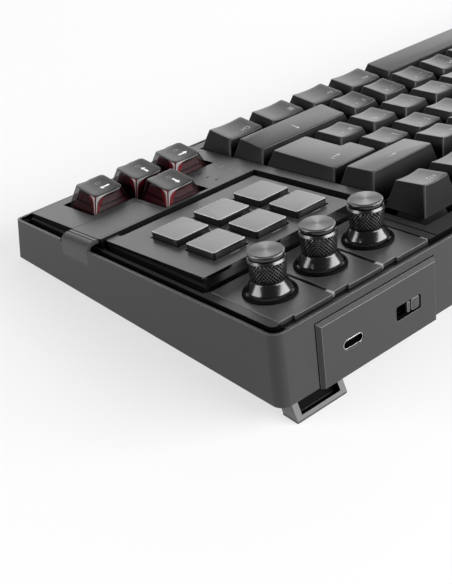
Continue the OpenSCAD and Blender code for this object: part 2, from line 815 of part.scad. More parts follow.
// One clear macro key: a cap with cut edges over a retaining flange
module macro_key(n) {
    p = macro_places[n - 1];
    edge = 0.5;
    half = macro_cap / 2;
    outline = [[-half, -deck_t - 0.5], [half, -deck_t - 0.5], [half, macro_rise - edge],
        [half - edge, macro_rise], [-half + edge, macro_rise], [-half, macro_rise - edge]];
    color("#8f9296") stand() on_deck() translate([p[0], p[1], 0]) {
        intersection() {
            prism_x(outline, macro_cap);
            prism_y(outline, macro_cap);
            translate([0, 0, -5]) linear_extrude(20) round_rect([-half, -half], [half, half], 1);
        }
        translate([-macro_flange / 2, -macro_flange / 2, -deck_t - seat_clear - flange_t])
            cube([macro_flange, macro_flange, flange_t]);
    }
}

// Three satin tiles that the knobs stand on, each with a set back stretch in its rear edge
module knob_tiles() {
    notch_w = 5.8;
    color("#414143") stand()
        for (i = [-1 : 1]) translate([knob_mid + i * knob_pitch, 0, tile_floor])
            linear_extrude(tile_t) difference() {
                translate([-tile_w / 2, tile_front])
                    square([tile_w + max(i, 0) * tile_more, cover_rear - tile_front]);
                translate([tile_w / 2 + max(i, 0) * tile_more - notch_w, cover_rear - tile_notch])
                    square([notch_w + 1, tile_notch + 1]);
                translate([0, knob_y]) circle(bushing_r + 0.3);
            }
}

// Light windows at the rear ends of the grooves beside the tiles
module indicator_windows() {
    window_len = 3;
    w = tile_gap - 0.2;
    back = cover_rear - 0.6;
    color("#e8e8e4") stand() {
        span([tile_left + 0.1, back - window_len, tile_floor], [tile_left + w / 2, back, rear_z]);
        for (i = [1, 2]) translate([tile_left + i * knob_pitch, 0, 0])
            span([-w / 2, back - window_len, tile_floor], [w / 2, back, rear_z]);
    }
}

// Low collars round the feet of the knobs
module knob_collars() {
    color("#0c0c0d") stand()
        for (i = [-1 : 1]) translate([knob_mid + i * knob_pitch, knob_y, rear_z])
            rotate_extrude()
                polygon([[skirt_d / 2 + run_clear, 0], [collar_d / 2, 0], [collar_d / 2, collar_h / 2],
                    [collar_d / 2 - 0.4, collar_h], [skirt_d / 2 + run_clear, collar_h]]);
}

// Rotary encoders on the main board: a square can with a round bushing
module rotary_encoders() {
    color("#6d6f72") stand()
        for (i = [-1 : 1]) translate([knob_mid + i * knob_pitch, knob_y, board_z]) difference() {
            union() {
                translate([-encoder_w / 2, -encoder_w / 2, 0]) cube([encoder_w, encoder_w, encoder_h]);
                cylinder(r = bushing_r, h = rear_z - board_z);
            }
            translate([0, 0, 2]) cylinder(r = shaft_d / 2 + shaft_clear, h = 20);
        }
}

// Encoder shaft that carries a knob and slides down when the knob is pressed
module encoder_shaft(n) {
    low = board_z + 2 + knob_travel + run_clear;
    color("#a5a7aa") stand()
        translate([knob_mid + (n - 2) * knob_pitch, knob_y, low])
            cylinder(d = shaft_d, h = shaft_top - low);
}

// Knurled sleeve: rings of points that stand out and fall back in turn, each ring half a step round
module knurl_sleeve(r_low, r_high, h, inner) {
    ring = knurl_points;
    step = 360 / ring;
    function out(j) = r_low + (r_high - r_low) * j / knurl_bands - (j % 2 == 1 ? knurl_depth : 0);
    points = concat(
        [for (j = [0 : knurl_bands], i = [0 : ring - 1])
            [out(j) * cos((i + (j % 2) / 2) * step), out(j) * sin((i + (j % 2) / 2) * step),
                h * j / knurl_bands]],
        [for (z = [0, h], i = [0 : ring - 1]) [inner * cos(i * step), inner * sin(i * step), z]]);
    low = (knurl_bands + 1) * ring;
    up = low + ring;
    last = knurl_bands * ring;
    function next(i) = (i + 1) % ring;
    faces = concat(
        [for (j = [0 : knurl_bands - 1], i = [0 : ring - 1]) each (j % 2 == 0
            ? [[j * ring + i, (j + 1) * ring + i, j * ring + next(i)],
               [j * ring + next(i), (j + 1) * ring + i, (j + 1) * ring + next(i)]]
            : [[j * ring + i, (j + 1) * ring + i, (j + 1) * ring + next(i)],
               [j * ring + i, (j + 1) * ring + next(i), j * ring + next(i)]])],
        [for (i = [0 : ring - 1]) each [[low + i, i, next(i)], [low + i, next(i), low + next(i)]]],
        [for (i = [0 : ring - 1])
            each [[up + i, last + next(i), last + i], [up + i, up + next(i), last + next(i)]]],
        [for (i = [0 : ring - 1])
            each [[low + i, low + next(i), up + next(i)], [low + i, up + next(i), up + i]]]);
    polyhedron(points, faces);
}

// Turned knob: flared skirt, waist, knurl, neck groove and a flat spun disc, bored for its shaft
module knob(n) {
    waist = waist_d / 2;
    grip = knurl_d / 2;
    top = knurl_z + knurl_h;
    neck = grip - 1;
    core = waist - knurl_depth - 0.2;
    disc = grip - 0.4;
    lap = 0.1;
    color("#1b1b1d") stand()
        translate([knob_mid + (n - 2) * knob_pitch, knob_y, knob_z]) difference() {
            union() {
                rotate_extrude() polygon([
                    [0, 0], [skirt_d / 2, 0], [skirt_d / 2, 0.5],
                    [waist + 0.2, knurl_z - 1], [waist, knurl_z - 0.8],
                    [waist, knurl_z + lap], [core, knurl_z + lap], [core, top - lap],
                    [grip + lap, top - lap], [grip + lap, top + lap], [disc, top + 0.7],
                    [neck, top + 0.9], [neck, top + 1.4], [disc, top + 1.4], [disc, knob_h - 0.5],
                    [disc - 0.5, knob_h], [0, knob_h]]);
                translate([0, 0, knurl_z]) knurl_sleeve(waist + 0.2, grip, knurl_h, core - 0.3);
            }
            translate([0, 0, -eps]) cylinder(r = shaft_d / 2 + shaft_clear, h = shaft_top - knob_z + 0.2);
        }
}

// Rear panel with slanted upper and side edges, the port's mouth and the switch slot
module rear_panel() {
    edge = 1.2;
    front = y_rear + panel_proud - panel_t;
    face = y_rear + panel_proud;
    right = panel_x + panel_w;
    color("#3a3a3c") stand() difference() {
        intersection() {
            translate([panel_x + panel_w / 2, 0, 0])
                prism_x([
                    [front, panel_bottom], [face, panel_bottom], [face, -panel_drop - edge],
                    [face - edge, -panel_drop], [front, -panel_drop]], panel_w);
            translate([0, 0, panel_bottom]) linear_extrude(-panel_drop - panel_bottom)
                polygon([
                    [panel_x, front], [right, front], [right, face - edge], [right - edge, face],
                    [panel_x + edge / 2, face], [panel_x, face - edge / 2]]);
        }
        translate([port_x, y_rear, port_z]) rotate([90, 0, 0])
            linear_extrude(20, center = true) stadium(port_w + 2 * seat_clear, port_h + 2 * seat_clear);
        translate([switch_x, y_rear, port_z]) rotate([90, 0, 0])
            linear_extrude(20, center = true)
                round_rect([-slot_w / 2, -slot_h / 2], [slot_w / 2, slot_h / 2], 0.8);
    }
}

// Small board that carries the port and the mode switch
module io_board() {
    color("#1e3a2a") stand()
        span([panel_x + 1, y_rear - wall - 11, io_board_z - board_t],
            [min(port_x + port_w / 2, foot_mid - housing_half - 0.4), y_rear - wall - 0.5, io_board_z]);
}

// Metal mouth of the charging port
module usb_c_shell() {
    shell_t = 0.3;
    port_len = 9;
    color("#b9bbbe") stand()
        translate([port_x, y_rear + panel_proud - 0.2, port_z]) rotate([90, 0, 0]) difference() {
            linear_extrude(port_len) stadium(port_w, port_h);
            translate([0, 0, -1])
                linear_extrude(port_len - 1) stadium(port_w - 2 * shell_t, port_h - 2 * shell_t);
        }
}

// Contact tongue inside the charging port
module usb_c_tongue() {
    color("#151516") stand()
        translate([port_x, y_rear + panel_proud - 1.4, port_z]) rotate([90, 0, 0])
            linear_extrude(5.8) square([6.7, 0.7], center = true);
}

// Housing of the mode switch behind the rear panel
module mode_switch_body() {
    color("#8d8f92") stand() difference() {
        span([switch_x - slot_w / 2 - 0.5, y_rear - wall - 5, io_board_z],
            [switch_x + slot_w / 2 + 0.5, y_rear + panel_proud - panel_t - 0.1, port_z + slot_h / 2 + 0.4]);
        span([switch_x - slot_w / 2, y_rear - wall - 2.4, port_z - 1 - run_clear],
            [switch_x + slot_w / 2, y_rear + 2, port_z + 1 + run_clear]);
    }
}

// Slider of the mode switch, resting at the left end of its slot
module mode_switch_slider() {
    w = slider_w;
    half = slot_h / 2 - run_clear;
    back = y_rear + panel_proud - panel_t + 0.3;
    face = y_rear + panel_proud - 0.3;
    left = switch_x - slot_w / 2 + run_clear;
    mid = left + w / 2;
    color("#46464a") stand() {
        difference() {
            span([left, back, port_z - half], [left + w, face, port_z + half]);
            span([left + 1, face - 0.5, port_z - half + 0.8], [left + w - 1, face + 1, port_z + half - 0.8]);
        }
        span([mid - 1, y_rear - wall - 2, port_z - 1], [mid + 1, back + 0.1, port_z + 1]);
    }
}

// Side outline of an opened foot without its rubber tip, lowered by tip_t from the sole
function foot_dir() = [foot_back - foot_sole / 2, -foot_drop] / norm([foot_back - foot_sole / 2, foot_drop]);
function sole_point(along, up) = [
    sole_y + along * cos(tilt) + up * sin(tilt),
    sole_z - along * sin(tilt) + up * cos(tilt)];

// Opened flip foot with a hollow rear face, its hub and two hinge pins
module flip_foot(mid) {
    side = [-foot_dir()[1], foot_dir()[0]];
    hinge = [hinge_y, hinge_z];
    hollow = 2.6;
    rim = 2.4;
    lean_back = atan2(foot_back - hub_r, foot_drop);
    color("#38383a") stand() {
        difference() {
            union() {
                translate([mid, 0, 0]) prism_x([
                    hinge + side * hub_r, hinge - side * hub_r,
                    sole_point(-foot_sole, tip_t), sole_point(0, tip_t)], foot_w);
                translate([mid, hinge_y, hinge_z]) rotate([0, 90, 0])
                    cylinder(r = hub_r, h = foot_w, center = true);
            }
            translate([mid, sole_y, sole_z]) rotate([lean_back, 0, 0])
                translate([0, 0, tip_t + rim / 2 + (foot_drop - 3.4) / 2])
                    cube([foot_w - 2 * rim, 2 * hollow, foot_drop - 3.4], center = true);
        }
        translate([mid, hinge_y, hinge_z]) rotate([0, 90, 0])
            cylinder(d = pin_d, h = foot_w + 2 * (run_clear + pin_len - 0.35), center = true);
    }
}

// Rubber sole of a flip foot
module foot_tip(mid) {
    color("#161617") stand() translate([mid, 0, 0])
        prism_x([sole_point(-foot_sole, tip_t), sole_point(-foot_sole, 0),
            sole_point(0, 0), sole_point(0, tip_t)], foot_w);
}

// Rubber pads under the lower body, two in front and two ahead of the feet
module rubber_pads() {
    rear_pad_y = pocket_front - pad_d - 6;
    color("#161617") stand()
        for (mid = foot_mids, y = [pad_y, rear_pad_y])
            translate([mid, y, base_z(y)]) rotate([-base_slope, 0, 0])
                translate([-pad_w / 2, 0, -pad_t])
                    linear_extrude(pad_t) round_rect([0, 0], [pad_w, pad_d], pad_d / 3);
}

// Block tapered in x, between two heights, running along y
module taper_y(low0, high0, low1, high1, h, length) {
    prism_y([[-low0, 0], [high0, 0], [high1, h], [-low1, h]], length);
}

// Solid keycap shape: skirt half sizes, top half sizes, height and lean of its top
module cap_block(half_w, front, rear, top_w, top_front, top_rear, h, lean_top, corner) {
    over = h + 3;
    grow = over / h;
    w1 = half_w - (half_w - top_w) * grow;
    f1 = front - (front - top_front) * grow;
    r1 = rear - (rear - top_rear) * grow;
    long = 3 * (half_w + front + rear);
    diagonal = sqrt(0.5);
    intersection() {
        prism_x([[-front, 0], [rear, 0],
            [top_rear, h + top_rear * tan(lean_top)],
            [-top_front, h - top_front * tan(lean_top)]], 2 * half_w);
        taper_y(half_w, half_w, w1, w1, over, front + rear + 2);
        rotate(45) taper_y((half_w + front - corner) * diagonal, (half_w + rear - corner) * diagonal,
            (w1 + f1 - corner) * diagonal, (w1 + r1 - corner) * diagonal, over, long);
        rotate(-45) taper_y((half_w + rear - corner) * diagonal, (half_w + front - corner) * diagonal,
            (w1 + r1 - corner) * diagonal, (w1 + f1 - corner) * diagonal, over, long);
    }
}

// Keycap of a given width in units: hollow, dished where it is narrow, with a stem and any extra posts
module keycap(units, h, lean_top, posts = []) {
    half_w = units * unit / 2 - cap_gap / 2;
    skirt = unit / 2 - cap_gap / 2;
    top_w = units * unit / 2 - cap_side_inset;
    top_front = unit / 2 - cap_front_inset;
    top_rear = unit / 2 - cap_rear_inset;
    dished = units < 1.6;
    dish = dished ? dish_depth : 0;
    inside = h - cap_roof - dish - tan(abs(lean_top)) * top_rear;
    share = inside / h;
    dish_r = (top_w * top_w + dish_depth * dish_depth) / (2 * dish_depth);
    difference() {
        cap_block(half_w, skirt, skirt, top_w, top_front, top_rear, h, lean_top, cap_corner);
        translate([0, 0, -eps])
            cap_block(half_w - cap_wall, skirt - cap_wall, skirt - cap_wall,
                half_w - cap_wall - (half_w - top_w) * share, skirt - cap_wall - (skirt - top_front) * share,
                skirt - cap_wall - (skirt - top_rear) * share, inside, 0, 0.2);
        if (dished)
            translate([0, 0, h]) rotate([lean_top, 0, 0]) translate([0, 0, dish_r - dish])
                rotate([90, 0, 0]) cylinder(r = dish_r, h = 3 * unit, center = true, $fn = 128);
    }
    stem_top = inside + cap_roof / 2;
    translate([-stem_w / 2, -stem_w / 2, -1.2]) cube([stem_w, stem_w, stem_top + 1.2]);
    for (p = posts)
        translate([p[0] - post_w / 2, p[1] - post_w / 2, -1]) cube([post_w, post_w, stem_top + 1]);
}

// Keycaps of one row at their places
module row_caps(keys, row, h, lean_top, posts = []) {
    for (k = keys)
        translate([key_x(k), row_y(row), 0]) keycap(k[1], h, lean_top, posts);
}

side_posts = [[-stabilizer_reach, 0], [stabilizer_reach, 0]];

// L shaped enter key over two rows
module enter_key() {
    h = home_cap_h;
    wide = enter_rear_u * unit;
    slim = enter_front_u * unit;
    inside = h - cap_roof;
    share = inside / h;
    skirt = unit - cap_gap / 2;
    color("#202022") stand() translate([enter_x, enter_y, 0]) {
        difference() {
            union() {
                cap_block(slim / 2 - cap_gap / 2, skirt, skirt,
                    slim / 2 - cap_side_inset, unit - cap_front_inset, unit - cap_rear_inset,
                    h, 0, cap_corner);
                translate([(slim - wide) / 2, 0, 0])
                    cap_block(wide / 2 - cap_gap / 2, -cap_gap / 2, skirt,
                        wide / 2 - cap_side_inset, -cap_front_inset, unit - cap_rear_inset, h, 0, 0);
            }
            translate([0, 0, -eps])
                cap_block(slim / 2 - cap_gap / 2 - cap_wall, skirt - cap_wall, skirt - cap_wall,
                    slim / 2 - cap_gap / 2 - cap_wall - (cap_side_inset - cap_gap / 2) * share,
                    skirt - cap_wall - (cap_front_inset - cap_gap / 2) * share,
                    skirt - cap_wall - (cap_rear_inset - cap_gap / 2) * share, inside, 0, 0.2);
        }
        stem_top = inside + cap_roof / 2;
        translate([-stem_w / 2, -stem_w / 2, -1.2]) cube([stem_w, stem_w, stem_top + 1.2]);
        for (side = [-1, 1])
            translate([-post_w / 2, side * stabilizer_reach - post_w / 2, -1])
                cube([post_w, post_w, stem_top + 1]);
    }
}

// Clear arrow keycap at its place
module arrow_key(n) {
    p = arrow_places[n];
    color("#3a1014") stand() translate([arrow_x(p), p[1] * unit, 0]) keycap(1, arrow_cap_h, arrow_tilt);
}

module front_row_keys() { color("#202022") stand() row_caps(front_row, 0, front_cap_h, front_tilt); }
module space_bar() {
    posts = [[-space_reach, 0], [space_reach, 0]];
    color("#202022") stand() row_caps([space_key], 0, front_cap_h, front_tilt, posts);
}
module right_ctrl_key() { color("#202022") stand() row_caps([right_ctrl], 0, front_cap_h, front_tilt); }
module left_shift_key() { color("#202022") stand() row_caps([left_shift], 1, shift_cap_h, front_tilt); }
module lower_letter_keys() { color("#202022") stand() row_caps(shift_row, 1, shift_cap_h, front_tilt); }
module right_shift_key() {
    color("#202022") stand() row_caps([right_shift], 1, shift_cap_h, front_tilt, side_posts);
}
module caps_lock_key() { color("#202022") stand() row_caps([caps_lock], 2, home_cap_h, 0); }
module home_letter_keys() { color("#202022") stand() row_caps(home_row, 2, home_cap_h, 0); }
module tab_key() { color("#202022") stand() row_caps([tab], 3, upper_cap_h, 0); }
module upper_letter_keys() { color("#202022") stand() row_caps(upper_row, 3, upper_cap_h, 0); }
module number_keys() { color("#202022") stand() row_caps(number_row, 4, number_cap_h, number_tilt); }
module backspace_key() {
    color("#202022") stand() row_caps([backspace], 4, number_cap_h, number_tilt, side_posts);
}
module escape_key() { color("#202022") stand() row_caps([escape], 5, function_cap_h, function_tilt); }
module function_keys() { color("#202022") stand() row_caps(function_row, 5, function_cap_h, function_tilt); }
module f12_key() { color("#202022") stand() row_caps([f12], 5, function_cap_h, function_tilt); }

bottom_case();
top_case();
badge_plate();
light_diffusers();
switch_plate();
main_board();
switch_housings();
stabilizers();
plate_screws();
module_body();
macro_deck();
display_panel();
macro_key(1);  // macro_key_1
macro_key(2);  // macro_key_2
macro_key(3);  // macro_key_3
macro_key(4);  // macro_key_4
macro_key(5);  // macro_key_5
macro_key(6);  // macro_key_6
knob_tiles();
indicator_windows();
knob_collars();
rotary_encoders();
encoder_shaft(1);  // encoder_shaft_1
encoder_shaft(2);  // encoder_shaft_2
encoder_shaft(3);  // encoder_shaft_3
knob(1);  // knob_1
knob(2);  // knob_2
knob(3);  // knob_3
rear_panel();
io_board();
usb_c_shell();
usb_c_tongue();
mode_switch_body();
mode_switch_slider();
flip_foot(foot_mids[0]);  // flip_foot_left
flip_foot(foot_mids[1]);  // flip_foot_right
foot_tip(foot_mids[0]);  // foot_tip_left
foot_tip(foot_mids[1]);  // foot_tip_right
rubber_pads();
arrow_key(0);  // arrow_left_key
arrow_key(1);  // arrow_down_key
arrow_key(2);  // arrow_right_key
arrow_key(3);  // arrow_up_key
front_row_keys();
space_bar();
right_ctrl_key();
left_shift_key();
lower_letter_keys();
right_shift_key();
caps_lock_key();
home_letter_keys();
tab_key();
upper_letter_keys();
enter_key();
number_keys();
backspace_key();
escape_key();
function_keys();
f12_key();
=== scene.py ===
"""Looks of a compact gaming keyboard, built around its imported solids.

Sculpted keycaps with legends, clear arrow keys, display macro keys, knurled knobs and the moulded body
get their shapes and finishes here. Sizes are millimetres in the level plane of the key rows, with x = 0
on the right edge of the main block, y = 0 on the front row and z = 0 at the resting keycap edges.
Deck.matrix() takes them to the standing frame in metres.
"""

import json
import logging
import math
from dataclasses import dataclass, field
from enum import Enum
from functools import lru_cache
from typing import Callable, ClassVar

import bpy
from mathutils import Matrix, Vector


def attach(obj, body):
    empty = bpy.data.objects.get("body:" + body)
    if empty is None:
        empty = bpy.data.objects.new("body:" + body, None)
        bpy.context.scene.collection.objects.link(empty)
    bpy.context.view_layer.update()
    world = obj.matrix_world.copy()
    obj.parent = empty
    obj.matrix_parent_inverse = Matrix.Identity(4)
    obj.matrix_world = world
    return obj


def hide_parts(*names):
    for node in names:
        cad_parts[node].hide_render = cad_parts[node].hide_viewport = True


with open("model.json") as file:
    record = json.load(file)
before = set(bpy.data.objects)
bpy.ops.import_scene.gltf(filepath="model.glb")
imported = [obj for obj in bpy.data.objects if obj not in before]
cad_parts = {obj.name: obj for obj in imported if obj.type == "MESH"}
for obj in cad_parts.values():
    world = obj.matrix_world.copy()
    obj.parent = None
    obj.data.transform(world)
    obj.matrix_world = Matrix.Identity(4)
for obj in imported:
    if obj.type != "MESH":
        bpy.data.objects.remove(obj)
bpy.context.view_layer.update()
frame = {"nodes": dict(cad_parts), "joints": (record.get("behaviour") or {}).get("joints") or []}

LOG = logging.getLogger("keyboard")
MM = 0.001
PRINT_THICK = 0.05
Point = tuple[float, float]
Triple = tuple[float, float, float]


def grey(level: float) -> Triple:
    """Neutral colour of a given linear level."""
    return (level, level, level)


def joint(name: str) -> dict:
    """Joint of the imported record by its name."""
    return next(j for j in frame["joints"] if j["name"] == name)


@dataclass(frozen=True)
class Deck:
    """Plane of the key rows and its place in the standing frame."""

    unit: float = 19.05
    block_units: float = 15.0
    function_row: int = 5
    function_gap: float = 3.75
    arrow_gap: float = 9.5
    nav_z: float = 1.35
    nav_slope: float = 2.3
    knob_mid: float = 41.9
    knob_pitch: float = 22.5
    knob_behind: float = 1.0
    knob_mark: float = 5.0

    def row_y(self, row: int) -> float:
        """Middle of a key row, counted from the front."""
        return row * self.unit + (self.function_gap if row >= self.function_row else 0.0)

    def key_x(self, start: float, width: float) -> float:
        """Middle of a key from its first unit and its width in units."""
        return (start + width / 2 - self.block_units) * self.unit

    @property
    def knob_y(self) -> float:
        """Middle of the knob row."""
        return self.row_y(self.function_row) + self.knob_behind

    def knob_x(self, number: int) -> float:
        """Middle of a knob, counted from the left."""
        return self.knob_mid + (number - 2) * self.knob_pitch

    @property
    def tilt(self) -> float:
        """Lean of the key plane in radians, read from a key's press axis."""
        axis = joint("enter_press")["axis"]
        return math.atan2(axis[1], -axis[2])

    def matrix(self) -> Matrix:
        """Finds the place of the deck from its lean and the middle knob's mark.

        Returns:
            The way from deck millimetres to the standing frame in metres.
        """
        turn = Matrix.Rotation(self.tilt, 4, "X")
        hub = Vector(joint("knob_turn_2")["pos_m"]) / MM
        shift = hub - turn @ Vector((self.knob_x(2), self.knob_y, self.knob_mark))
        return Matrix.Scale(MM, 4) @ Matrix.Translation(shift) @ turn

    def place(self, x: float, y: float, z: float = 0.0) -> Matrix:
        """Way from a spot on the deck to the standing frame."""
        return self.matrix() @ Matrix.Translation((x, y, z))

    def nav_matrix(self) -> Matrix:
        """Way from the sloping arrow deck to the standing frame."""
        return self.place(0, 0, self.nav_z) @ Matrix.Rotation(math.radians(self.nav_slope), 4, "X")


DECK = Deck()


def assign(target: object, **settings: object) -> None:
    """Sets named settings of a node, a modifier, a light or the like."""
    for name, value in settings.items():
        setattr(target, name, value)


def new_object(name: str, data: bpy.types.ID) -> bpy.types.Object:
    """Puts a mesh, light or camera into the scene.

    Args:
        name: name of the object.
        data: what it shows.

    Returns:
        The new object.
    """
    made = bpy.data.objects.new(name, data)
    bpy.context.scene.collection.objects.link(made)
    return made


def new_group(name: str, kind: str, inputs: dict[str, str], outputs: dict[str, str]) -> bpy.types.NodeTree:
    """Makes a node group with named sockets and nothing between them.

    Args:
        name: name of the group.
        kind: type of its tree.
        inputs: kind of each input by its name.
        outputs: kind of each output by its name.

    Returns:
        The group.
    """
    tree = bpy.data.node_groups.new(name, kind)
    for way, sockets in (("INPUT", inputs), ("OUTPUT", outputs)):
        for label, socket in sockets.items():
            tree.interface.new_socket(label, in_out=way, socket_type=f"NodeSocket{socket}")
    return tree


def feed(node: bpy.types.Node, values: dict[str | int, object]) -> bpy.types.Node:
    """Sets inputs of a node, by a link where the value is a socket.

    Args:
        node: the node.
        values: value or socket for each input, by its name or number.

    Returns:
        The node itself.
    """
    for name, value in values.items():
        if isinstance(value, bpy.types.NodeSocket):
            node.id_data.links.new(value, node.inputs[name])
        else:
            node.inputs[name].default_value = value
    return node


def add(tree: bpy.types.NodeTree, kind: str, values: dict[str | int, object] | None = None,
        **settings: object) -> bpy.types.Node:
    """Adds a node to a tree.

    Args:
        tree: tree that gets the node.
        kind: type of the node.
        values: value or socket for each input, by its name or number.
        settings: its other settings.

    Returns:
        The node.
    """
    node = tree.nodes.new(kind)
    assign(node, **settings)
    return feed(node, values or {})


def maths(tree: bpy.types.NodeTree, operation: str, *values: object) -> bpy.types.NodeSocket:
    """Output of a new math node that gets values or sockets in its own order."""
    return add(tree, "ShaderNodeMath", dict(enumerate(values)), operation=operation).outputs[0]


class Grain:
    """Shared shader group for moulded and metal surfaces: fine relief, broad tone and gloss changes."""

    NAME = "moulded_grain"
    FINE_DETAIL = 3.0
    BROAD_SCALE = 22.0
    BROAD_DETAIL = 5.0

    @classmethod
    @lru_cache(maxsize=None)
    def group(cls) -> bpy.types.NodeTree:
        """Builds the group at the first call.

        Returns:
            The group.
        """
        tree = new_group(cls.NAME, "ShaderNodeTree",
                         {"Colour": "Color", "Tone Spread": "Float", "Roughness": "Float",
                          "Roughness Spread": "Float", "Grain Scale": "Float", "Grain Height": "Float"},
                         {"Colour": "Color", "Roughness": "Float", "Normal": "Vector"})
        into = add(tree, "NodeGroupInput").outputs
        place = add(tree, "ShaderNodeTexCoord").outputs["Object"]
        fine = add(tree, "ShaderNodeTexNoise", {"Vector": place, "Scale": into["Grain Scale"],
                                                "Detail": cls.FINE_DETAIL}).outputs["Fac"]
        broad = add(tree, "ShaderNodeTexNoise", {"Vector": place, "Scale": cls.BROAD_SCALE,
                                                 "Detail": cls.BROAD_DETAIL}).outputs["Fac"]
        bump = add(tree, "ShaderNodeBump", {"Strength": 1.0, "Height": fine,
                                            "Distance": into["Grain Height"]})
        centred = maths(tree, "SUBTRACT", maths(tree, "ADD", fine, broad), 1.0)
        rough = maths(tree, "MULTIPLY_ADD", centred, into["Roughness Spread"], into["Roughness"])
        tone = maths(tree, "MULTIPLY_ADD", centred, into["Tone Spread"], 1.0)
        tint = add(tree, "ShaderNodeVectorMath", {0: into["Colour"], "Scale": tone}, operation="SCALE")
        add(tree, "NodeGroupOutput", {"Colour": tint.outputs["Vector"], "Roughness": rough,
                                      "Normal": bump.outputs["Normal"]})
        return tree


class Spun:
    """Shared shader group for turned metal: fine rings about a knob's axis."""

    NAME = "spun_rings"
    DETAIL = 4.0
    ROUGH_SPREAD = 0.12

    @classmethod
    @lru_cache(maxsize=None)
    def group(cls) -> bpy.types.NodeTree:
        """Builds the group at the first call.

        Returns:
            The group.
        """
        tree = new_group(cls.NAME, "ShaderNodeTree",
                         {"Axis": "Vector", "Ring Scale": "Float", "Ring Height": "Float",
                          "Roughness": "Float"}, {"Roughness": "Float", "Normal": "Vector"})
        into = add(tree, "NodeGroupInput").outputs
        place = add(tree, "ShaderNodeTexCoord").outputs["Object"]
        away = add(tree, "ShaderNodeVectorMath", {0: place, 1: into["Axis"]}, operation="DISTANCE")
        rings = add(tree, "ShaderNodeTexNoise", {
            "W": away.outputs["Value"], "Scale": into["Ring Scale"], "Detail": cls.DETAIL},
            noise_dimensions="1D").outputs["Fac"]
        bump = add(tree, "ShaderNodeBump", {"Height": rings, "Distance": into["Ring Height"]})
        rough = maths(tree, "MULTIPLY_ADD", rings, cls.ROUGH_SPREAD, into["Roughness"])
        add(tree, "NodeGroupOutput", {"Roughness": rough, "Normal": bump.outputs["Normal"]})
        return tree


@dataclass(frozen=True)
class Finish:
    """One surface finish.

    Sizes of the grain and the rings are millimetres, the spreads are shares of tone and roughness.
    """

    name: str
    colour: Triple
    roughness: float
    metallic: float = 0.0
    specular: float = 0.5
    coat: float = 0.0
    grain_size: float = 0.35
    grain_height: float = 0.006
    tone_spread: float = 0.18
    rough_spread: float = 0.12
    clear: float = 0.0
    anisotropy: float = 0.0
    spun_axis: Triple | None = None
    COAT_ROUGHNESS: ClassVar[float] = 0.08
    RINGS_PER_METRE: ClassVar[float] = 9000.0
    RING_HEIGHT: ClassVar[float] = 0.004
    FACING_BLEND: ClassVar[float] = 0.35

    @lru_cache(maxsize=None)
    def material(self) -> bpy.types.Material:
        """Builds the finish as a node material.

        Returns:
            The material, built once for each finish.
        """
        made = bpy.data.materials.new(self.name)
        made.use_nodes = True
        tree = made.node_tree
        shader = tree.nodes["Principled BSDF"]
        grain = add(tree, "ShaderNodeGroup", {
            "Colour": (*self.colour, 1.0), "Tone Spread": self.tone_spread, "Roughness": self.roughness,
            "Roughness Spread": self.rough_spread, "Grain Scale": 1.0 / (self.grain_size * MM),
            "Grain Height": self.grain_height * MM}, node_tree=Grain.group()).outputs
        feed(shader, {"Base Color": grain["Colour"], "Roughness": grain["Roughness"],
                      "Normal": grain["Normal"], "Metallic": self.metallic,
                      "Specular IOR Level": self.specular, "Coat Weight": self.coat,
                      "Coat Roughness": self.COAT_ROUGHNESS})
        if self.spun_axis:
            self._spin(tree, shader)
        if self.clear:
            self._see_through(tree, shader)
        return made

    def _spin(self, tree: bpy.types.NodeTree, shader: bpy.types.Node) -> None:
        """Gives a shader turned rings and the fan highlight that goes with them.

        Args:
            tree: the material's tree.
            shader: its Principled node.
        """
        spun = add(tree, "ShaderNodeGroup", {
            "Axis": self.spun_axis, "Ring Scale": self.RINGS_PER_METRE, "Ring Height": self.RING_HEIGHT * MM,
            "Roughness": self.roughness}, node_tree=Spun.group()).outputs
        tangent = add(tree, "ShaderNodeTangent", direction_type="RADIAL", axis="Z").outputs["Tangent"]
        feed(shader, {"Normal": spun["Normal"], "Roughness": spun["Roughness"], "Tangent": tangent,
                      "Anisotropic": self.anisotropy})

    def _see_through(self, tree: bpy.types.NodeTree, shader: bpy.types.Node) -> None:
        """Lets a glossy shell show what is behind it, less so at grazing angles.

        Args:
            tree: the material's tree.
            shader: its Principled node.
        """
        edge = add(tree, "ShaderNodeLayerWeight", {"Blend": self.FACING_BLEND}).outputs["Facing"]
        feed(shader, {"Alpha": maths(tree, "MULTIPLY_ADD", edge, self.clear, 1.0 - self.clear)})


CASE = Finish("case_satin", grey(0.038), 0.4, specular=0.38, grain_height=0.007)
BODY = Finish("body_satin", grey(0.042), 0.4, specular=0.16, grain_height=0.007)
TILE = Finish("tile_satin", grey(0.058), 0.36, grain_height=0.0015)
FOOT = Finish("foot_satin", grey(0.085), 0.4)
# Pale bevel faces: a painted highlight along the edges of the lower body, the knob tiles, the rear panel and
# the slider.
CASE_EDGE_HIGHLIGHT = Finish("case_edge_painted_highlight", grey(0.14), 0.3, specular=0.7, grain_height=0.0)
MODULE_DECK = Finish("deck_satin", grey(0.043), 0.38, specular=0.38, grain_height=0.005)
GLOSS = Finish("gloss_black", grey(0.005), 0.1, coat=0.3, grain_height=0.001, rough_spread=0.05)
# Key sides, darker than their tops: painted shade.
KEY_SIDE_SHADE = Finish("key_side_painted_shade", grey(0.004), 0.5, specular=0.15, grain_size=0.28)
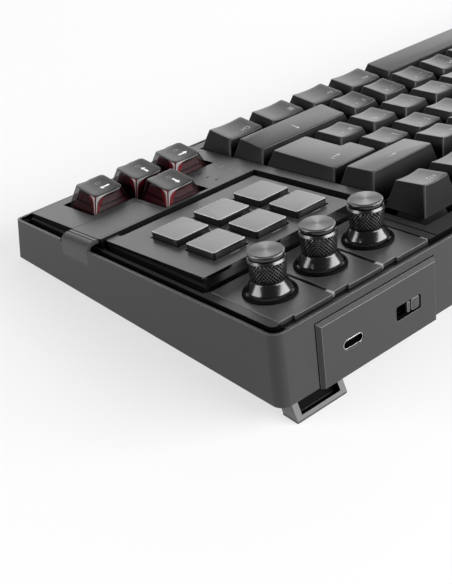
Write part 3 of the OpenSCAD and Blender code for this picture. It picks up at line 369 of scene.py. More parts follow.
# Pale slanting corner faces of the keys: a painted highlight.
KEY_EDGE_HIGHLIGHT = Finish("key_edge_painted_highlight", grey(0.03), 0.36, specular=0.6, grain_height=0.0)
KEY_TOP = Finish("key_satin", grey(0.014), 0.36, specular=0.6, grain_size=0.28, grain_height=0.005)
LEGEND = Finish("legend_print", grey(0.42), 0.5, grain_height=0.0)
SIGN = Finish("sign_print", grey(0.2), 0.5, grain_height=0.0)
WHITE_PRINT = Finish("white_print", grey(0.8), 0.5, grain_height=0.0)
ARROW_TOP = Finish("arrow_top_satin", grey(0.02), 0.36)
ARROW_CLEAR = Finish("arrow_clear", (0.008, 0.002, 0.003), 0.2, specular=0.04, grain_height=0.0,
                     rough_spread=0.0, clear=0.62)
ARROW_CORE = Finish("arrow_core_dark", (0.045, 0.0012, 0.004), 0.35, specular=0.2, grain_size=1.6,
                    grain_height=0.002, tone_spread=1.8)
# Red glints beside the arrow keys' corners: painted light.
ARROW_GLINT = Finish("arrow_glint_red", (0.28, 0.006, 0.015), 0.3, grain_size=1.4, grain_height=0.0,
                     tone_spread=1.6)
# Pale slivers up the arrow keys' corners: a painted highlight.
ARROW_SLIVER_HIGHLIGHT = Finish("arrow_sliver_painted_highlight", grey(0.27), 0.4, grain_height=0.002)
MACRO_SHELL = Finish("macro_smoked", grey(0.01), 0.2, specular=0.35, grain_height=0.001)
# Pale top edge of the display keys: a painted highlight.
MACRO_EDGE_HIGHLIGHT = Finish("macro_edge_painted_highlight", grey(0.47), 0.25, specular=0.6, grain_size=0.9, grain_height=0.001,
                    tone_spread=1.2)
MACRO_FILM = Finish("macro_display", grey(0.29), 0.6, specular=0.2, grain_size=0.12, grain_height=0.001)
KNOB_DARK = Finish("knob_black_metal", grey(0.006), 0.28, metallic=1.0, grain_height=0.001)
# Bright metal between the knurl's diamonds: a painted highlight for the glints along the knurl.
KNOB_KNURL_HIGHLIGHT = Finish("knob_knurl_painted_highlight", grey(0.8), 0.24, metallic=1.0, grain_height=0.0005)
KNOB_RING = Finish("knob_bright_ring", grey(0.075), 0.28, metallic=1.0, grain_height=0.0005)
KNOB_GLOSS = Finish("knob_skirt_gloss", grey(0.004), 0.22, coat=0.3, grain_height=0.0)
# Matt black: own colour of knob collars, printed marks, the port's tongue, the switch body and the slider's
# foot; painted shade inside the port's mouth and the feet's recesses.
MATT_BLACK_AND_SHADE = Finish("matt_black_and_painted_shade", grey(0.003), 0.6, specular=0.03, grain_height=0.003)
STEEL = Finish("plain_steel", grey(0.55), 0.28, metallic=1.0, grain_size=0.2, grain_height=0.002)
DARK_STEEL = Finish("black_plate", grey(0.02), 0.45, metallic=0.6)
BOARD = Finish("board_green", (0.012, 0.05, 0.022), 0.4, coat=0.3)
# Near-black switch housings, also standing in for the shade in the gap under the caps.
SWITCH = Finish("switch_housing", grey(0.008), 0.45)
DARK_PLASTIC = Finish("dark_plastic", grey(0.012), 0.4)
RUBBER = Finish("foot_rubber", grey(0.018), 0.75, grain_size=0.5, grain_height=0.02)
SOLE = Finish("sole_rubber", grey(0.05), 0.6, grain_size=0.5, grain_height=0.02)
# Light strip near black: painted shade of the groove it lies in.
DIFFUSER = Finish("light_strip", grey(0.006), 0.35, specular=0.3, grain_height=0.002)
# Near black: painted shade on walls, grooves, ledges and the rear panel's bed.
GROOVE_PAINTED_SHADE = Finish("groove_painted_shade", grey(0.004), 0.5, specular=0.12)
WINDOW = Finish("light_window", grey(0.34), 0.3, grain_height=0.002)


class Shape:
    """Mesh under construction, in millimetres."""

    CREASE_ANGLE = 35.0

    def __init__(self) -> None:
        """Starts with nothing."""
        self.points: list[Vector] = []
        self.faces: list[tuple[int, ...]] = []
        self.paints: list[int] = []

    def ring(self, points: list[Vector]) -> list[int]:
        """Adds points.

        Args:
            points: the points in order.

        Returns:
            Their numbers.
        """
        start = len(self.points)
        self.points.extend(points)
        return list(range(start, len(self.points)))

    def face(self, corners: list[int], paint: int = 0) -> None:
        """Adds one face with a paint number."""
        self.faces.append(tuple(corners))
        self.paints.append(paint)

    def bridge(self, low: list[int], high: list[int], paint: int = 0) -> None:
        """Joins two rings of equal length.

        Args:
            low: the ring that is below, seen from outside.
            high: the ring above it.
            paint: paint number of the faces between them.
        """
        count = len(low)
        for i in range(count):
            j = (i + 1) % count
            self.face([low[i], low[j], high[j], high[i]], paint)

    def loft(self, rings: list[list[Vector]], paints: list[int] | None = None) -> list[list[int]]:
        """Joins rings in order.

        Args:
            rings: rings of equal length, from the first to the last.
            paints: paint number of each band.

        Returns:
            The point numbers of each ring.
        """
        numbers = [self.ring(points) for points in rings]
        for k in range(len(numbers) - 1):
            self.bridge(numbers[k], numbers[k + 1], paints[k] if paints else 0)
        return numbers

    def capped(self, rings: list[list[Vector]], paints: list[int] | None = None, paint: int = 0) -> "Shape":
        """Joins rings in order and closes the last one with a flat face.

        Args:
            rings: rings of equal length, from the first to the last.
            paints: paint number of each band.
            paint: paint number of the flat face.

        Returns:
            The shape itself.
        """
        self.face(self.loft(rings, paints)[-1], paint)
        return self

    def sheet(self, corners: list[Point], z: float) -> None:
        """Adds one flat face at a height."""
        self.face(self.ring([Vector((x, y, z)) for x, y in corners]))

    def paint_by_height(self, rule: Callable[[float], int]) -> None:
        """Paints each face by the height of its middle.

        Args:
            rule: gives the paint number for a height.
        """
        for i, face in enumerate(self.faces):
            self.paints[i] = rule(sum(self.points[k].z for k in face) / len(face))

    def piece(self, name: str, finishes: list[Finish], place: Matrix, thick: float = 0.0) -> bpy.types.Object:
        """Makes the shape an object at the origin, with its place in its mesh.

        Args:
            name: name of the object.
            finishes: finish for each paint number.
            place: way from the shape's millimetres to the frame.
            thick: thickness that an open sheet gets under its faces.

        Returns:
            The new object.
        """
        mesh = bpy.data.meshes.new(name)
        mesh.from_pydata([place @ p for p in self.points], [], self.faces)
        for finish in finishes:
            mesh.materials.append(finish.material())
        mesh.polygons.foreach_set("material_index", self.paints)
        mesh.polygons.foreach_set("use_smooth", [not thick] * len(mesh.polygons))
        mesh.update()
        mesh.set_sharp_from_angle(angle=math.radians(self.CREASE_ANGLE))
        made = new_object(name, mesh)
        if thick:
            assign(made.modifiers.new("thickness", "SOLIDIFY"), thickness=thick * MM, offset=-1.0)
        return made


def round_outline(corners: list[Point], radius: float, edge: int = 6, arc: int = 4) -> list[Point]:
    """Rounds the corners of a square cornered outline.

    Args:
        corners: corners in counter clockwise order, with edges along x and y.
        radius: radius of every corner.
        edge: steps along each edge.
        arc: steps in each corner.

    Returns:
        The points of the outline.
    """
    turns: list[list[Vector]] = []
    count = len(corners)
    angles = [math.pi / 2 * k / arc for k in range(arc + 1)]
    for i, corner in enumerate(corners):
        here = Vector(corner)
        into = (here - Vector(corners[i - 1])).normalized()
        away = (Vector(corners[(i + 1) % count]) - here).normalized()
        middle = here - radius * into + radius * away
        turns.append([middle + radius * (into * math.sin(a) - away * math.cos(a)) for a in angles])
    points: list[Point] = []
    for i, turn in enumerate(turns):
        following = turns[(i + 1) % count][0]
        points.extend((p.x, p.y) for p in turn)
        points.extend(tuple(turn[-1].lerp(following, k / edge)) for k in range(1, edge))
    return points


def inset_outline(corners: list[Point], side: float, front: float, rear: float) -> list[Point]:
    """Draws a square cornered outline in by its own amount on each side.

    Args:
        corners: corners in counter clockwise order, with edges along x and y.
        side: inset of the left and right edges.
        front: inset of the edges that look to the front.
        rear: inset of the edges that look to the rear.

    Returns:
        The new corners.
    """
    moved: list[Point] = []
    count = len(corners)
    for i, (x, y) in enumerate(corners):
        for start, end in ((corners[i - 1], (x, y)), ((x, y), corners[(i + 1) % count])):
            run, rise = end[0] - start[0], end[1] - start[1]
            if abs(rise) > abs(run):
                new_x = x - math.copysign(side, rise)
            else:
                new_y = y + front if run > 0 else y - rear
        moved.append((new_x, new_y))
    return moved


def box_corners(left: float, right: float, front: float, rear: float) -> list[Point]:
    """Corners of a rectangle in counter clockwise order."""
    return [(left, front), (right, front), (right, rear), (left, rear)]


@dataclass(frozen=True)
class CapForm:
    """Form of one keycap: its skirt outline, its top and its dish."""

    corners: tuple[Point, ...]
    height: float
    lean: float = 0.0
    dish: float = 0.0
    dish_half: float = 1.0
    side_inset: float = 2.725
    front_inset: float = 3.025
    rear_inset: float = 2.125
    corner_r: float = 0.75
    corner_growth: float = 0.3
    fillet: float = 0.4
    wall: float = 1.2
    hollow: float = 0.45
    foot_cut: float = 0.12
    foot_share: float = 0.015
    SIDE_STEPS: ClassVar[int] = 3
    FILLET_STEPS: ClassVar[int] = 4
    SIDE_BANDS: ClassVar[int] = 6
    DISH_SHARES: ClassVar[tuple[float, ...]] = (0.75, 0.5, 0.25)

    def top_z(self, x: float, y: float) -> float:
        """Height of the top face over the skirt at a place."""
        hollow = self.dish * max(0.0, 1.0 - (x / self.dish_half) ** 2)
        return self.height + y * math.tan(math.radians(self.lean)) - hollow

    def ring(self, share: float, draw_in: float, drop: Callable[[float], float]) -> list[Vector]:
        """One ring of the cap.

        Args:
            share: how far up the sides the ring is.
            draw_in: further inset from the sides there.
            drop: height of a ring point from the top's height over it.

        Returns:
            The ring's points.
        """
        outline = inset_outline(list(self.corners), self.side_inset * share + draw_in,
                                self.front_inset * share + draw_in, self.rear_inset * share + draw_in)
        radius = self.corner_r * (1.0 + self.corner_growth * share)
        return [Vector((x, y, drop(self.top_z(x, y)))) for x, y in round_outline(outline, radius)]

    def shape(self) -> Shape:
        """Builds the cap: an inner wall, the sides, a rounded top edge and the dished top.

        Returns:
            The cap's shape.
        """
        made = Shape()
        body, sides = 1.0 - self.fillet / self.height, self.SIDE_STEPS
        rings = [self.ring(self.hollow, self.wall, lambda top: self.hollow * top),
                 self.ring(0.0, self.wall, lambda top: 0.0),
                 self.ring(0.0, self.foot_cut, lambda top: 0.0),
                 self.ring(self.foot_share, 0.0, lambda top: self.foot_cut)]
        for k in range(1, sides + 1):
            rings.append(self.ring(body * k / sides, 0.0, lambda top, k=k: (top - self.fillet) * k / sides))
        for k in range(1, self.FILLET_STEPS + 1):
            angle = math.pi / 2 * k / self.FILLET_STEPS
            rings.append(self.ring(body, self.fillet * (1 - math.cos(angle)),
                                   lambda top, a=angle: top - self.fillet * (1 - math.sin(a))))
        low = made.loft(rings)[-1]
        for share in self.DISH_SHARES if self.dish else ():
            inner = [(p.x * share, p.y * share) for p in rings[-1]]
            high = made.ring([Vector((x, y, self.top_z(x, y))) for x, y in inner])
            made.bridge(low, high)
            low = high
        made.face(low)
        return made


class RowStyle(Enum):
    """Number, cap height and cap lean of each key row, from the front."""

    FRONT = (0, 7.8, -7.0)
    SHIFT = (1, 7.7, -7.0)
    HOME = (2, 7.6, 0.0)
    UPPER = (3, 7.6, 0.0)
    NUMBER = (4, 10.1, 3.5)
    FUNCTION = (5, 10.35, 5.0)

    def __init__(self, row: int, height: float, lean: float) -> None:
        """Takes the row's number, and the height and lean in degrees of its caps."""
        self.row, self.height, self.lean = row, height, lean


@dataclass(frozen=True)
class Key:
    """One key: its place in a row in units, and its legends."""

    start: float
    width: float = 1.0
    legend: str = ""
    second: str = ""


def keys_of(start: float, legends: str, seconds: str = "") -> list[Key]:
    """Keys of one unit, with one sign of each text on each.

    Args:
        start: first unit.
        legends: main signs.
        seconds: shifted signs, a space for none.

    Returns:
        The keys in order.
    """
    return [Key(start + i, 1.0, sign, seconds[i].strip() if i < len(seconds) else "")
            for i, sign in enumerate(legends)]


class Print:
    """Legends laid on the top of one cap after another as thin meshes."""

    LIFT = 0.025
    RING_STEPS = 16
    LETTER_SCALE = 1.45
    LETTER_STEPS = 3

    def __init__(self) -> None:
        """Starts with no legends and no cap."""
        self.shape = Shape()
        self.form: CapForm | None = None
        self.origin: Point = (0.0, 0.0)

    def take(self, form: CapForm, origin: Point) -> None:
        """Goes on to the next cap, with its middle."""
        self.form, self.origin = form, origin

    def words(self, text: str, size: float, at: Point) -> None:
        """Lays a text on the cap's top.

        Args:
            text: the legend.
            size: height of its letters.
            at: its middle from the key's middle.
        """
        curve = bpy.data.curves.new("legend", "FONT")
        assign(curve, body=text, size=size * self.LETTER_SCALE, align_x="CENTER", align_y="CENTER",
               resolution_u=self.LETTER_STEPS)
        holder = bpy.data.objects.new("legend", curve)
        mesh = bpy.data.meshes.new_from_object(holder)
        outline = [(v.co.x + at[0], v.co.y + at[1]) for v in mesh.vertices]
        self._lay(outline, [tuple(p.vertices) for p in mesh.polygons])
        bpy.data.objects.remove(holder)
        bpy.data.curves.remove(curve)
        bpy.data.meshes.remove(mesh)

    def strip(self, outline: list[Point], at: Point) -> None:
        """Lays one filled outline on the cap's top, with its zero point at a place."""
        points = [(x + at[0], y + at[1]) for x, y in outline]
        self._lay(points, [tuple(range(len(points)))])

    def ring(self, radii: Point, at: Point, paint: int) -> None:
        """Lays a flat ring on the cap's top.

        Args:
            radii: its outer and inner radius.
            at: its middle from the key's middle.
            paint: its paint number.
        """
        count = self.RING_STEPS
        turns = [2 * math.pi * k / count for k in range(count)]
        outline = [(at[0] + r * math.cos(a), at[1] + r * math.sin(a)) for r in radii for a in turns]
        faces = [(k, (k + 1) % count, count + (k + 1) % count, count + k) for k in range(count)]
        self._lay(outline, faces, paint)

    def _lay(self, outline: list[Point], faces: list[tuple[int, ...]], paint: int = 0) -> None:
        """Adds flat faces just over the cap's top.

        Args:
            outline: points from the key's middle.
            faces: point numbers of each face.
            paint: paint number of the faces.
        """
        left, front = self.origin
        numbers = self.shape.ring([Vector((x + left, y + front, self.form.top_z(x, y) + self.LIFT))
                                   for x, y in outline])
        for corners in faces:
            self.shape.face([numbers[i] for i in corners], paint)


@dataclass(frozen=True)
class ArrowSign:
    """Plain arrow sign."""

    length: float
    head: float
    stem: float
    point_share: float = 0.62

    def parts(self, turn: float) -> list[list[Point]]:
        """Outlines that together fill the arrow.

        Args:
            turn: direction in degrees, 0 points to +x.

        Returns:
            A stem and a head.
        """
        half, neck = self.length / 2, self.length / 2 - self.head * self.point_share
        stem = box_corners(-half, neck, -self.stem / 2, self.stem / 2)
        head = [(neck, -self.head / 2), (half, 0.0), (neck, self.head / 2)]
        a = math.radians(turn)
        return [[(x * math.cos(a) - y * math.sin(a), x * math.sin(a) + y * math.cos(a)) for x, y in part]
                for part in (stem, head)]


def own(made: bpy.types.Object, body: str, slot: str, *nodes: str) -> None:
    """Puts a piece on its body and hides the solids that it stands for.

    Args:
        made: the piece.
        body: body that it moves with.
        slot: not used.
        nodes: solids that it stands for.
    """
    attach(made, body)
    if nodes:
        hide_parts(*nodes)
    LOG.info("piece %s on %s", made.name, body)


class CapArray:
    """Geometry Nodes tree that sets one cap on every point of a row, with painted shade on its sides and a
    painted highlight on its slanting corner faces.
    """

    NAME = "caps_on_row"
    TOP_FACING = 0.6
    EDGE_FACING = 0.3

    @classmethod
    @lru_cache(maxsize=None)
    def tree(cls) -> bpy.types.NodeTree:
        """Builds the tree at the first call.

        Returns:
            The tree.
        """
        tree = new_group(cls.NAME, "GeometryNodeTree",
                         {"Geometry": "Geometry", "Cap": "Object", "Finish": "Material",
                          "Top Finish": "Material", "Edge Highlight Finish": "Material"}, {"Geometry": "Geometry"})
        into = add(tree, "NodeGroupInput").outputs
        cap = add(tree, "GeometryNodeObjectInfo", {"Object": into["Cap"]}).outputs["Geometry"]
        spread = add(tree, "GeometryNodeInstanceOnPoints", {"Points": into["Geometry"], "Instance": cap})
        real = add(tree, "GeometryNodeRealizeInstances", {"Geometry": spread.outputs["Instances"]})
        last = add(tree, "GeometryNodeSetMaterial", {"Geometry": real.outputs["Geometry"],
                                                     "Material": into["Finish"]})
        normal = add(tree, "GeometryNodeInputNormal").outputs["Normal"]
        split = add(tree, "ShaderNodeSeparateXYZ", {"Vector": normal}).outputs
        slant = maths(tree, "ABSOLUTE", maths(tree, "MULTIPLY", split["X"], split["Y"]))
        for name, facing, limit in (("Edge Highlight Finish", slant, cls.EDGE_FACING),
                                    ("Top Finish", split["Z"], cls.TOP_FACING)):
            chosen = add(tree, "FunctionNodeCompare", {"A": facing, "B": limit}, operation="GREATER_THAN")
            last = add(tree, "GeometryNodeSetMaterial", {
                "Geometry": last.outputs["Geometry"], "Selection": chosen.outputs["Result"],
                "Material": into[name]})
        add(tree, "NodeGroupOutput", {"Geometry": last.outputs["Geometry"]})
        return tree

    @classmethod
    def paint(cls, normal: Vector) -> int:
        """Paint number of a cap's face: 0 for a side in painted shade, 1 for the top, 2 for a slanting edge
        with a painted highlight.
        """
        return 1 if normal.z > cls.TOP_FACING else 2 if abs(normal.x * normal.y) > cls.EDGE_FACING else 0


def grow(name: str, base: bpy.types.Mesh, tree: bpy.types.NodeTree,
         values: dict[str, object]) -> bpy.types.Object:
    """Runs a Geometry Nodes tree on a mesh and keeps the result as a plain piece.

    Args:
        name: name of the piece.
        base: mesh that the tree starts from.
        tree: the tree.
        values: its inputs by name.

    Returns:
        The finished object.
    """
    made = new_object(name, base)
    step = made.modifiers.new("grow", "NODES")
    step.node_group = tree
    for item in tree.interface.items_tree:
        if item.in_out == "INPUT" and item.name in values:
            step[item.identifier] = values[item.name]
    result = bpy.data.meshes.new_from_object(made.evaluated_get(bpy.context.evaluated_depsgraph_get()))
    made.modifiers.clear()
    made.data = result
    bpy.data.meshes.remove(base)
    used = {face.material_index for face in result.polygons}
    for slot in reversed(range(len(result.materials))):
        if slot not in used:
            result.materials.pop(index=slot)
    result.name = name
    return made


@dataclass
class KeyBank:
    """All dark keycaps of the main block."""

    deck: Deck = DECK
    gap: float = 0.95
    dish: float = 0.6
    dish_limit: float = 1.6
    side_inset: float = 3.2
    letter: float = 2.3
    word: float = 1.9
    word_share: float = 0.42
    word_start: float = 0.8
    second_shift: float = 4.6
    corner: Point = (-3.3, 2.9)
    arrow: ArrowSign = ArrowSign(4.4, 1.9, 0.4)
    arrow_at: Point = (0.0, 1.6)
    menu_half: Point = (1.2, 0.18)
    menu_pitch: float = 0.9
    menu_shift: float = 0.4
    enter_arrow: ArrowSign = ArrowSign(4.8, 1.9, 0.4)
    enter_arrow_at: Point = (0.0, 8.6)
    enter_bend: tuple[float, ...] = (2.0, 2.4, 8.8, 10.4)
    enter_half: float = 0.625
    enter_width: float = 1.5
    ARROW: ClassVar[str] = "arrow:"

    def form(self, width: float, style: RowStyle) -> CapForm:
        """Forms a cap of one row.

        Args:
            width: its width in units.
            style: its row.

        Returns:
            The cap's form.
        """
        half = width * self.deck.unit / 2 - self.gap / 2
        skirt = self.deck.unit / 2 - self.gap / 2
        dish = self.dish if width < self.dish_limit else 0.0
        return CapForm(tuple(box_corners(-half, half, -skirt, skirt)), style.height, style.lean, dish,
                       width * self.deck.unit / 2 - self.side_inset)

    def bank(self, body: str, node: str, style: RowStyle, keys: list[Key]) -> None:
        """Builds the caps and legends of one node.

        Args:
            body: body that the keys move with.
            node: solid that the caps stand for.
            style: their row.
            keys: the keys.
        """
        y = self.deck.row_y(style.row)
        caps: list[bpy.types.Object] = []
        print_ = Print()
        for width in sorted({k.width for k in keys}):
            form = self.form(width, style)
            same = [k for k in keys if k.width == width]
            places = [self.deck.key_x(k.start, width) for k in same]
            caps.append(self._array(f"{node}_{len(caps)}", form, places, y))
            for key, x in zip(same, places):
                print_.take(form, (x, y))
                self.sign(print_, key)
        own(self._join(caps, f"{node}_caps"), body, "keycap_plastic", node)
        if print_.shape.points:
            self._legends(print_, body, node)

    def _legends(self, print_: Print, body: str, node: str) -> None:
        """Makes the gathered legends of one node a piece."""
        made = print_.shape.piece(f"{node}_legends", [LEGEND], self.deck.matrix(), thick=PRINT_THICK)
        own(made, body, "keycap_plastic")

    def _array(self, name: str, form: CapForm, places: list[float], y: float) -> bpy.types.Object:
        """Sets one cap form on each place of a row.

        Args:
            name: name of the object.
            form: the cap.
            places: middles of the caps in x.
            y: middle of the row.

        Returns:
            The row of caps.
        """
        turn = self.deck.matrix()
        proto = form.shape().piece("cap_form", [KEY_SIDE_SHADE], turn.to_3x3().to_4x4())
        base = bpy.data.meshes.new(name)
        base.from_pydata([turn @ Vector((x, y, 0.0)) for x in places], [], [])
        # Sides take painted shade, slanting corner faces a painted highlight, tops their satin.
        made = grow(name, base, CapArray.tree(), {
            "Cap": proto, "Finish": KEY_SIDE_SHADE.material(), "Top Finish": KEY_TOP.material(),
            "Edge Highlight Finish": KEY_EDGE_HIGHLIGHT.material()})
        shape = proto.data
        bpy.data.objects.remove(proto)
        bpy.data.meshes.remove(shape)
        return made

    @staticmethod
    def _join(parts: list[bpy.types.Object], name: str) -> bpy.types.Object:
        """Joins caps of different widths to one piece.

        Args:
            parts: the rows of caps.
            name: name of the piece.

        Returns:
            The piece.
        """
        first = parts[0]
        if len(parts) > 1:
            with bpy.context.temp_override(active_object=first, object=first, selected_objects=parts,
                                           selected_editable_objects=parts):
                bpy.ops.object.join()
        first.name = first.data.name = name
        return first

    def sign(self, print_: Print, key: Key) -> None:
        """Prints a key's legends.

        Args:
            print_: where the legends are gathered, with the key's cap.
            key: the key.
        """
        legend = key.legend
        x, y = self.corner[0] - (key.width - 1.0) * self.deck.unit / 2, self.corner[1]
        if legend.startswith(self.ARROW):
            for part in self.arrow.parts(float(legend.removeprefix(self.ARROW))):
                print_.strip(part, self.arrow_at)
        elif legend == "menu":
            across, thick = self.menu_half
            for k in (-1, 0, 1):
                bar = box_corners(-across, across, k * self.menu_pitch - thick, k * self.menu_pitch + thick)
                print_.strip(bar, (x + self.menu_shift, y))
        elif len(legend) > 1:
            middle = x + self.word_share * self.word * len(legend) - self.word_start
            print_.words(legend, self.word, (middle, y))
        elif legend:
            print_.words(legend, self.letter, (x, y))
        if key.second:
            print_.words(key.second, self.word, (x + self.second_shift, y))

    def enter(self) -> None:
        """Builds the L shaped enter key with its bent arrow."""
        unit, half_gap = self.deck.unit, self.gap / 2
        middle = (-self.enter_half * unit, (self.deck.row_y(2) + self.deck.row_y(3)) / 2)
        right, slim = self.enter_half * unit - half_gap, -self.enter_half * unit + half_gap
        wide = self.enter_half * unit - self.enter_width * unit + half_gap
        rear = unit - half_gap
        outline = ((slim, -rear), (right, -rear), (right, rear), (wide, rear), (wide, half_gap),
                   (slim, half_gap))
        form = CapForm(outline, RowStyle.HOME.height)
        place = self.deck.place(*middle)
        cap = form.shape().piece("enter_key_caps", [KEY_SIDE_SHADE, KEY_TOP, KEY_EDGE_HIGHLIGHT], place)
        # Sides take painted shade, slanting corner faces a painted highlight, tops their satin.
        for face in cap.data.polygons:
            face.material_index = CapArray.paint(face.normal)
        own(cap, "enter", "keycap_plastic", "enter_key")
        print_ = Print()
        print_.take(form, middle)
        for part in self.enter_arrow.parts(180.0):
            print_.strip(part, self.enter_arrow_at)
        print_.strip(box_corners(*self.enter_bend), (0.0, 0.0))
        self._legends(print_, "enter", "enter_key")

    def build(self) -> None:
        """Builds every bank."""
        functions = [Key(2 + i + (i // 4) * 0.5, 1.0, f"F{i + 1}") for i in range(11)]
        numbers = keys_of(0, "`1234567890-=", " !\"£$%^&*()_+")
        upper = keys_of(1.5, "QWERTYUIOP[]", "          {}")
        home = keys_of(1.75, "ASDFGHJKL;'#", "         :@~")
        lower = keys_of(1.25, "\\ZXCVBNM,./", "|       <>?")
        places = ((0, "Ctrl"), (1.25, "o"), (2.5, "Alt"), (10, "Alt"), (11.25, "Fn"), (12.5, "menu"))
        front = [Key(start, 1.25, legend) for start, legend in places]
        banks = [
            ("number_row", "number_keys", RowStyle.NUMBER, numbers),
            ("backspace", "backspace_key", RowStyle.NUMBER, [Key(13, 2.0, "arrow:180")]),
            ("upper_letters", "upper_letter_keys", RowStyle.UPPER, upper),
            ("tab", "tab_key", RowStyle.UPPER, [Key(0, 1.5, "Tab")]),
            ("home_letters", "home_letter_keys", RowStyle.HOME, home),
            ("caps_lock", "caps_lock_key", RowStyle.HOME, [Key(0, 1.75, "Caps")]),
            ("lower_letters", "lower_letter_keys", RowStyle.SHIFT, lower),
            ("left_shift", "left_shift_key", RowStyle.SHIFT, [Key(0, 1.25, "arrow:90")]),
            ("right_shift", "right_shift_key", RowStyle.SHIFT, [Key(12.25, 2.75, "arrow:90")]),
            ("front_row", "front_row_keys", RowStyle.FRONT, front),
            ("right_ctrl", "right_ctrl_key", RowStyle.FRONT, [Key(13.75, 1.25, "Ctrl")]),
            ("space", "space_bar", RowStyle.FRONT, [Key(3.75, 6.25)]),
            ("escape", "escape_key", RowStyle.FUNCTION, [Key(0, 1.0, "Esc")]),
            ("function_row", "function_keys", RowStyle.FUNCTION, functions),
            ("f12", "f12_key", RowStyle.FUNCTION, [Key(14, 1.0, "F12")])]
        for bank in banks:
            self.bank(*bank)
        self.enter()


@dataclass(frozen=True)
class Sliver:
    """Band of painted highlight or painted red glint up the side of an arrow key beside a corner; its start
    and width change with its height.
    """

    paint: int
    out: float
    start: float
    growth: float
    widths: tuple[Point, ...]

    def band(self, share: float) -> Point:
        """Start and width beside the corner at a share of the band's height."""
        width = sum(size * share ** power for size, power in self.widths)
        return self.start + self.growth * share, width


